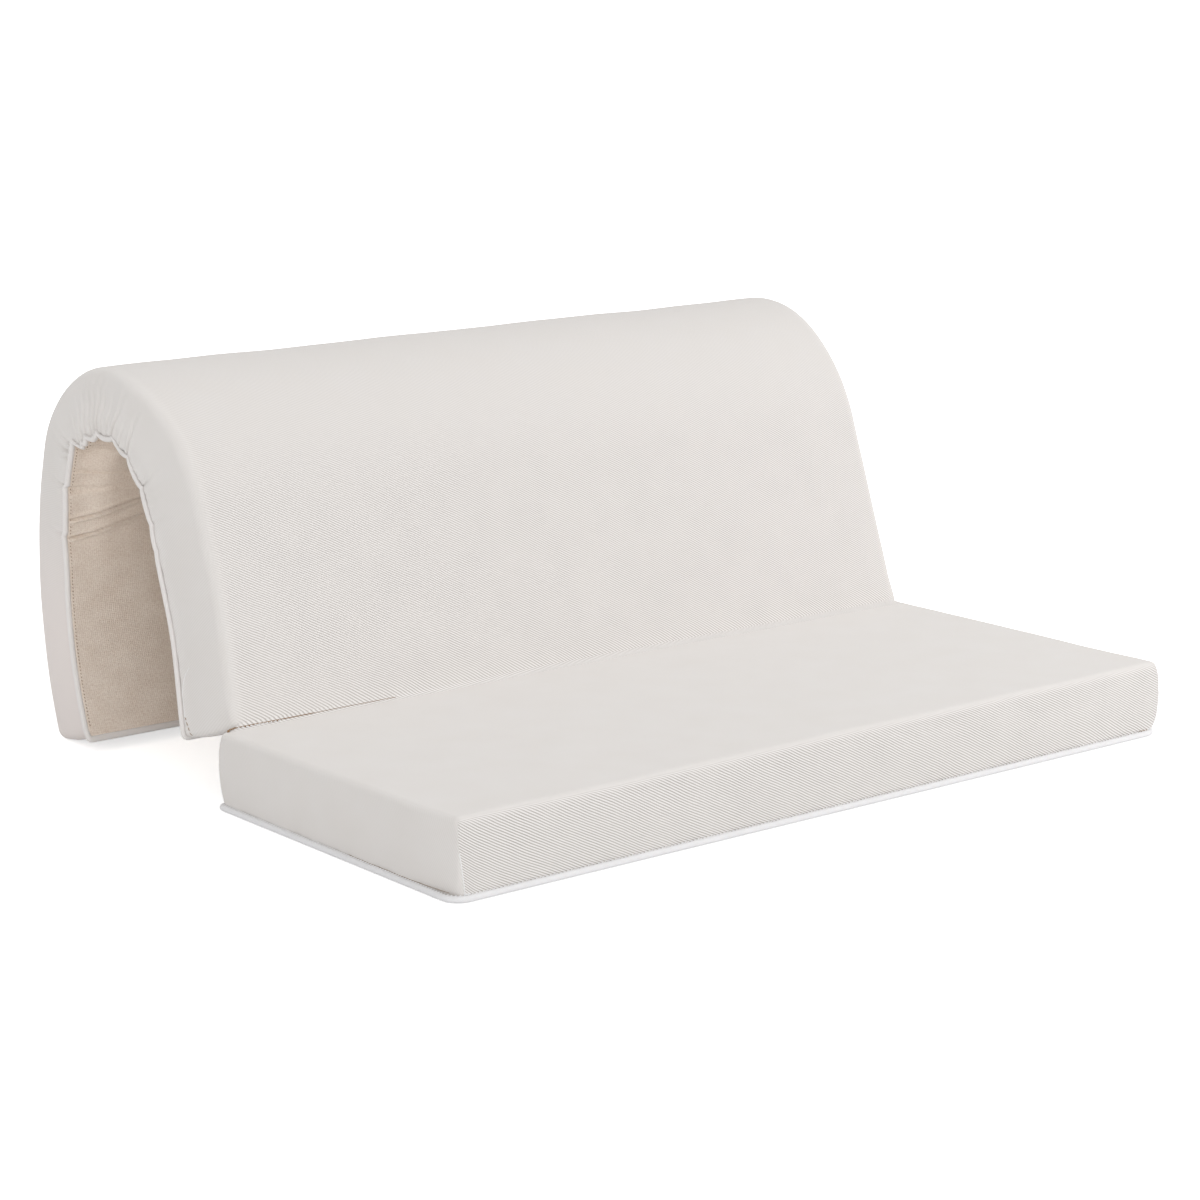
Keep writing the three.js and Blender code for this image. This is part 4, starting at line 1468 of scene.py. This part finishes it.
front_foot = BACK["near_corner"]
front_foot_end = HALF_WIDTH - front_foot
rear_foot_end = HALF_WIDTH - BACK["far_corner"]
rear_foot = BACK_LENGTH - BACK["far_corner"]
for order, (near, far) in enumerate(SPANS, 1):
    if order == 1:
        outlines = {
            "": [
                side_run(-1, front_foot, far)[::-1][:-1],
                corner_path(BACK, -1, -1, math.pi),
                straight_path((-front_foot_end, 0), (front_foot_end, 0), (0, -1), front_shares),
                corner_path(BACK, 1, -1, -math.pi / 2),
                side_run(1, front_foot, far)[1:],
            ]
        }
    elif order == 9:
        foot_line = ((rear_foot_end, BACK_LENGTH), (-rear_foot_end, BACK_LENGTH))
        outlines = {
            "": [
                side_run(1, near, rear_foot)[:-1],
                corner_path(BACK, 1, 1, 0),
                straight_path(*foot_line, (0, 1), front_shares),
                corner_path(BACK, -1, 1, math.pi / 2),
                side_run(-1, near, rear_foot)[::-1][1:],
            ]
        }
    else:
        outlines = {"_left": [side_run(-1, near, far)], "_right": [side_run(1, near, far)]}
    for side, runs in outlines.items():
        bead = lay_piping(np.vstack(runs), False)
        reshape(bead, lambda points: place_on_back(shape_feet(points)))
        piping = add_piece(f"back_piping_{order}{side}", bead, back_satin_painted_warm)
        bend_piece(piping, order)
        if order == 1:
            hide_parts("front_panel_piping", "bend_1_piping_left", "bend_1_piping_right")
        elif order == 9:
            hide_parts("rear_panel_piping")
        else:
            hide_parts(f"bend_{order}_piping{side}")


# Back seams
# Brown stitches hold the felt's edge to the piping. At the front foot a seam curves over
# the left end, closed at its lower end with a few brown stitches.
FELT_STITCH_PITCH = 0.0055
FELT_STITCH_SIZE = (0.0034, 0.0013, 0.0012)
FELT_STITCH_SLANT = math.radians(25)
FELT_STITCH_LINE = 0.6895
FELT_STITCH_DEPTH = -0.0002
FELT_STITCH_STEP = 0.0025
# They start and end this far from the feet.
FOOT_GAP = 0.025
# The foot's seam: distance from the fold and height over the felt side.
FOOT_SEAM = (
    (0.110, 0.036),
    (0.100, 0.022),
    (0.080, 0.0155),
    (0.055, 0.0145),
    (0.034, 0.0165),
    (0.008, 0.024),
)
FOOT_SEAM_THREAD = 0.0005
FOOT_SEAM_STEPS = 41
FOOT_SEAM_SMOOTHING = 12
# The thread shows on the first of the seam's steps, the brown stitches on the last.
FOOT_THREAD_STEPS = 33
FOOT_STITCH_START = 29
FOOT_STITCH_PITCH = 0.0095
FOOT_STITCH_SIZE = (0.0078, 0.0014, 0.0014)
FOOT_STITCH_SLANT = math.radians(8)

for order, (near, far) in enumerate(SPANS, 1):
    first = near + FOOT_GAP if order == 1 else near
    last = far - FOOT_GAP if order == 9 else far
    places = even(first, last, FELT_STITCH_STEP)
    row = bmesh.new()
    for side in (-1, 1):
        edge = points_of(side * FELT_STITCH_LINE, places, FELT_STITCH_DEPTH)
        route = place_on_back(edge)
        out = route - place_on_back(edge + np.array([0, 0, 0.01]))
        stitches(route, out, FELT_STITCH_PITCH, FELT_STITCH_SIZE, FELT_STITCH_SLANT, row)
    felt_stitches = add_piece(f"back_felt_stitches_{order}", row, brown_thread)
    bend_piece(felt_stitches, order)

seam_points = np.array(FOOT_SEAM)
seam_shares = np.linspace(0, len(seam_points) - 1, FOOT_SEAM_STEPS)
seam_places = np.stack(
    [np.interp(seam_shares, range(len(seam_points)), column) for column in seam_points.T], axis=1
)
for _ in range(FOOT_SEAM_SMOOTHING):
    seam_places[1:-1] = (seam_places[:-2] + 2 * seam_places[1:-1] + seam_places[2:]) / 4
seam_cloth = points_of(-KNIT_HALF, seam_places[:, 0], seam_places[:, 1] - THICKNESS)
seam_route = back_surface(seam_cloth)
foot_seam = bmesh.new()
thread(seam_route[:FOOT_THREAD_STEPS], FOOT_SEAM_THREAD, foot_seam)
close_threads(foot_seam)
foot_seam_piece = add_piece("back_foot_seam", foot_seam, white_thread)
bend_piece(foot_seam_piece, 1)
foot_stitches = bmesh.new()
foot_route = seam_route[FOOT_STITCH_START:]
foot_out = np.tile((-1.0, 0.0, 0.0), (len(foot_route), 1))
stitches(
    foot_route, foot_out, FOOT_STITCH_PITCH, FOOT_STITCH_SIZE, FOOT_STITCH_SLANT, foot_stitches
)
foot_stitch_piece = add_piece("back_foot_stitches", foot_stitches, brown_thread)
bend_piece(foot_stitch_piece, 1)


# Fold
# The knit runs on from the seat over the fold to the back. A brown woven tape is sewn
# behind it, and the overlock shows at the fold's left end.
TAPE_BROWN = (0.36, 0.27, 0.19, 1)
TAPE_DARK = (0.22, 0.16, 0.11, 1)
TAPE_YARN = 0.0011
TAPE_STEPS_ALONG = 120
TAPE_STEPS_UP = 6
FOLD_CLOTH = 0.0009
FOLD_SPAN = 0.684
FOLD_STEPS = 12
FOLD_COLUMN = 0.008
# Where the strip's edges lie on the seat and on the back, and how far it runs on flush.
FOLD_ON_SEAT = 0.018
FOLD_ON_BACK = 0.016
FOLD_PULL = 0.0065
LEDGE_SHARE = 0.40
FOLD_STITCH_PITCH = 0.0075
FOLD_STITCH_SIZE = (0.0046, 0.0022, 0.0020)
FOLD_DASH_SIZE = (0.0030, 0.0014, 0.0016)
FOLD_DASH_SHIFT = 0.0037
FOLD_STITCH_SLANT = math.radians(12)
# The brown thread shows at the left end, thick at first and thin further in. The thin part
# also stands in for a soft shade line in the valley: painted shade.
THICK_SHOWN = (-0.680, -0.53)
THIN_THREAD_AND_PAINTED_SHADE = (-0.534, -0.38)
# The loose tail's course from the valley's left end.
LOOSE_TAIL = (
    (-0.015, -0.003, -0.0080),
    (-0.0125, -0.004, -0.0035),
    (-0.009, -0.004, 0.0),
    (0.003, 0.0, 0.0),
)
TAIL_THREAD = 0.0010
TAIL_KNOT = 0.0021
LEDGE_SHOWN = (-0.676, -0.585)

tape_finish = Finish(bpy.data.materials.new("woven tape"))
tape_finish.tree.nodes["Principled BSDF"].inputs["Roughness"].default_value = 0.9
tape_place = tape_finish.node("TexCoord", {}, {}, "Object")
tape_across = tape_finish.node("SeparateXYZ", {}, {0: tape_place}, 0)
tape_up = tape_finish.node("SeparateXYZ", {}, {0: tape_place}, 2)
tape_warp = (tape_across * (math.pi / TAPE_YARN)).math("SINE")
tape_weft = (tape_up * (math.pi / TAPE_YARN)).math("SINE")
tape_weave = tape_warp * tape_weft * 0.5 + 0.5
tape_wear = tape_finish.node("TexNoise", {}, {"Vector": tape_place, "Scale": 160, "Detail": 3})
tape_tone = tape_weave * 0.6 + tape_wear * 0.4
tape_colour = tape_finish.node(
    "Mix", {"data_type": "RGBA"}, {0: tape_tone, 6: TAPE_DARK, 7: TAPE_BROWN}, 2
)
tape_finish.join(tape_colour, "BSDF_PRINCIPLED", "Base Color")
tape_finish.join(
    tape_finish.node("Bump", {}, {"Height": tape_weave, "Strength": 0.8, "Distance": 0.0003}),
    "BSDF_PRINCIPLED",
    "Normal",
)

tape_low, tape_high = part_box("fold_seam_tape")
tape_size = tape_high - tape_low
tape_mesh = bmesh.new()
bmesh.ops.create_grid(
    tape_mesh, x_segments=TAPE_STEPS_ALONG, y_segments=TAPE_STEPS_UP, size=0.5
)
bmesh.ops.scale(tape_mesh, vec=(tape_size.x, tape_size.z, 1), verts=tape_mesh.verts)
bmesh.ops.rotate(tape_mesh, matrix=Matrix.Rotation(math.pi / 2, 3, "X"), verts=tape_mesh.verts)
bmesh.ops.translate(
    tape_mesh, vec=(0, tape_low.y, (tape_low.z + tape_high.z) / 2), verts=tape_mesh.verts
)
thicken(tape_mesh, tape_size.y)
tape = add_piece("fold_tape", tape_mesh, tape_finish)
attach(tape, "seat")
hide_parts("fold_seam_tape")

# The strip of knit in the fold is drawn from the seat's top edge to the back's.
fold_columns = even(-FOLD_SPAN, FOLD_SPAN, FOLD_COLUMN)
fold_seat = seat_surface(points_of(fold_columns, SEAT_DEPTH - FOLD_ON_SEAT, 0))
fold_back = back_surface(points_of(fold_columns, FOLD_ON_BACK, 0))
back_way = np.array([0, math.sin(BACK_TILT), math.cos(BACK_TILT)])
fold_corners = (
    fold_seat + np.array([0, 0, -0.0003]),
    fold_seat + np.array([0, FOLD_PULL, 0.0002]),
    fold_back - FOLD_PULL * back_way + np.array([-0.0003, 0, 0]),
    fold_back + np.array([0, 0.0003, 0]),
)


def fold_at(share):
    """The course of the strip from seat to back, a curve with its ends flush to both."""
    rest = 1 - share
    weights = (rest**3, 3 * rest**2 * share, 3 * rest * share**2, share**3)
    return sum(weight * corner for weight, corner in zip(weights, fold_corners))


def shown_part(route, ends):
    """The part of a route across the fold that lies between two places."""
    return route[(route[:, 0] > ends[0]) & (route[:, 0] < ends[1])]


fold_mesh = bmesh.new()
bmesh.ops.create_grid(fold_mesh, x_segments=len(fold_columns) - 1, y_segments=FOLD_STEPS, size=0.5)
fold_unrolled = fold_mesh.loops.layers.uv.new("UVMap")
fold_courses = [fold_at(step / FOLD_STEPS) for step in range(FOLD_STEPS + 1)]
fold_length = float(np.linalg.norm(np.diff(np.array(fold_courses), axis=0), axis=2).sum(axis=0).mean())
for face in fold_mesh.faces:
    for loop in face.loops:
        across, along = loop.vert.co.x + 0.5, loop.vert.co.y + 0.5
        loop[fold_unrolled].uv = ((2 * across - 1) * FOLD_SPAN, along * fold_length)
for vert in fold_mesh.verts:
    column = round((vert.co.x + 0.5) * (len(fold_columns) - 1))
    vert.co = fold_courses[round((vert.co.y + 0.5) * FOLD_STEPS)][column]
thicken(fold_mesh, FOLD_CLOTH)
fold_strip = add_piece("fold_knit_strip", fold_mesh, back_knit)
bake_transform(fold_strip)

# The overlock's brown thread lies in the valley, its thin part partly painted shade, and its
# loose tail ends in a knot.
valley = fold_at(0.5) + np.array([0, -0.0003, 0.0005])
fold_threads = bmesh.new()
thread(shown_part(valley, THICK_SHOWN), OVERLOCK_THREAD, fold_threads)
thread(shown_part(valley, THIN_THREAD_AND_PAINTED_SHADE), FINE_THREAD, fold_threads)
loose_end = valley[0] + np.array(LOOSE_TAIL)
thread(loose_end, TAIL_THREAD, fold_threads)
close_threads(fold_threads)
knot = Matrix.Translation(Vector(loose_end[1] + np.array([0.001, 0, 0.0015])))
bmesh.ops.create_icosphere(fold_threads, subdivisions=1, radius=TAIL_KNOT, matrix=knot)
fold_overlock = add_piece("fold_overlock_thread", fold_threads, brown_thread)
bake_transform(fold_overlock)

# White stitches with brown ones between them show on the ledge at the left end.
ledge = shown_part(fold_at(LEDGE_SHARE) + np.array([0, -0.0006, 0.0008]), LEDGE_SHOWN)
ledge_out = np.tile((0.0, -0.3, 1.0), (len(ledge), 1))
fold_dots = bmesh.new()
stitches(ledge, ledge_out, FOLD_STITCH_PITCH, FOLD_STITCH_SIZE, FOLD_STITCH_SLANT, fold_dots)
fold_stitches = add_piece("fold_overlock_stitches", fold_dots, white_thread)
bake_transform(fold_stitches)
fold_dashes = bmesh.new()
between = ledge[1:-1] + np.array([FOLD_DASH_SHIFT, 0, 0])
stitches(
    between, ledge_out[1:-1], FOLD_STITCH_PITCH, FOLD_DASH_SIZE, FOLD_STITCH_SLANT, fold_dashes
)
fold_brown = add_piece("fold_overlock_dashes", fold_dashes, brown_thread)
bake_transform(fold_brown)
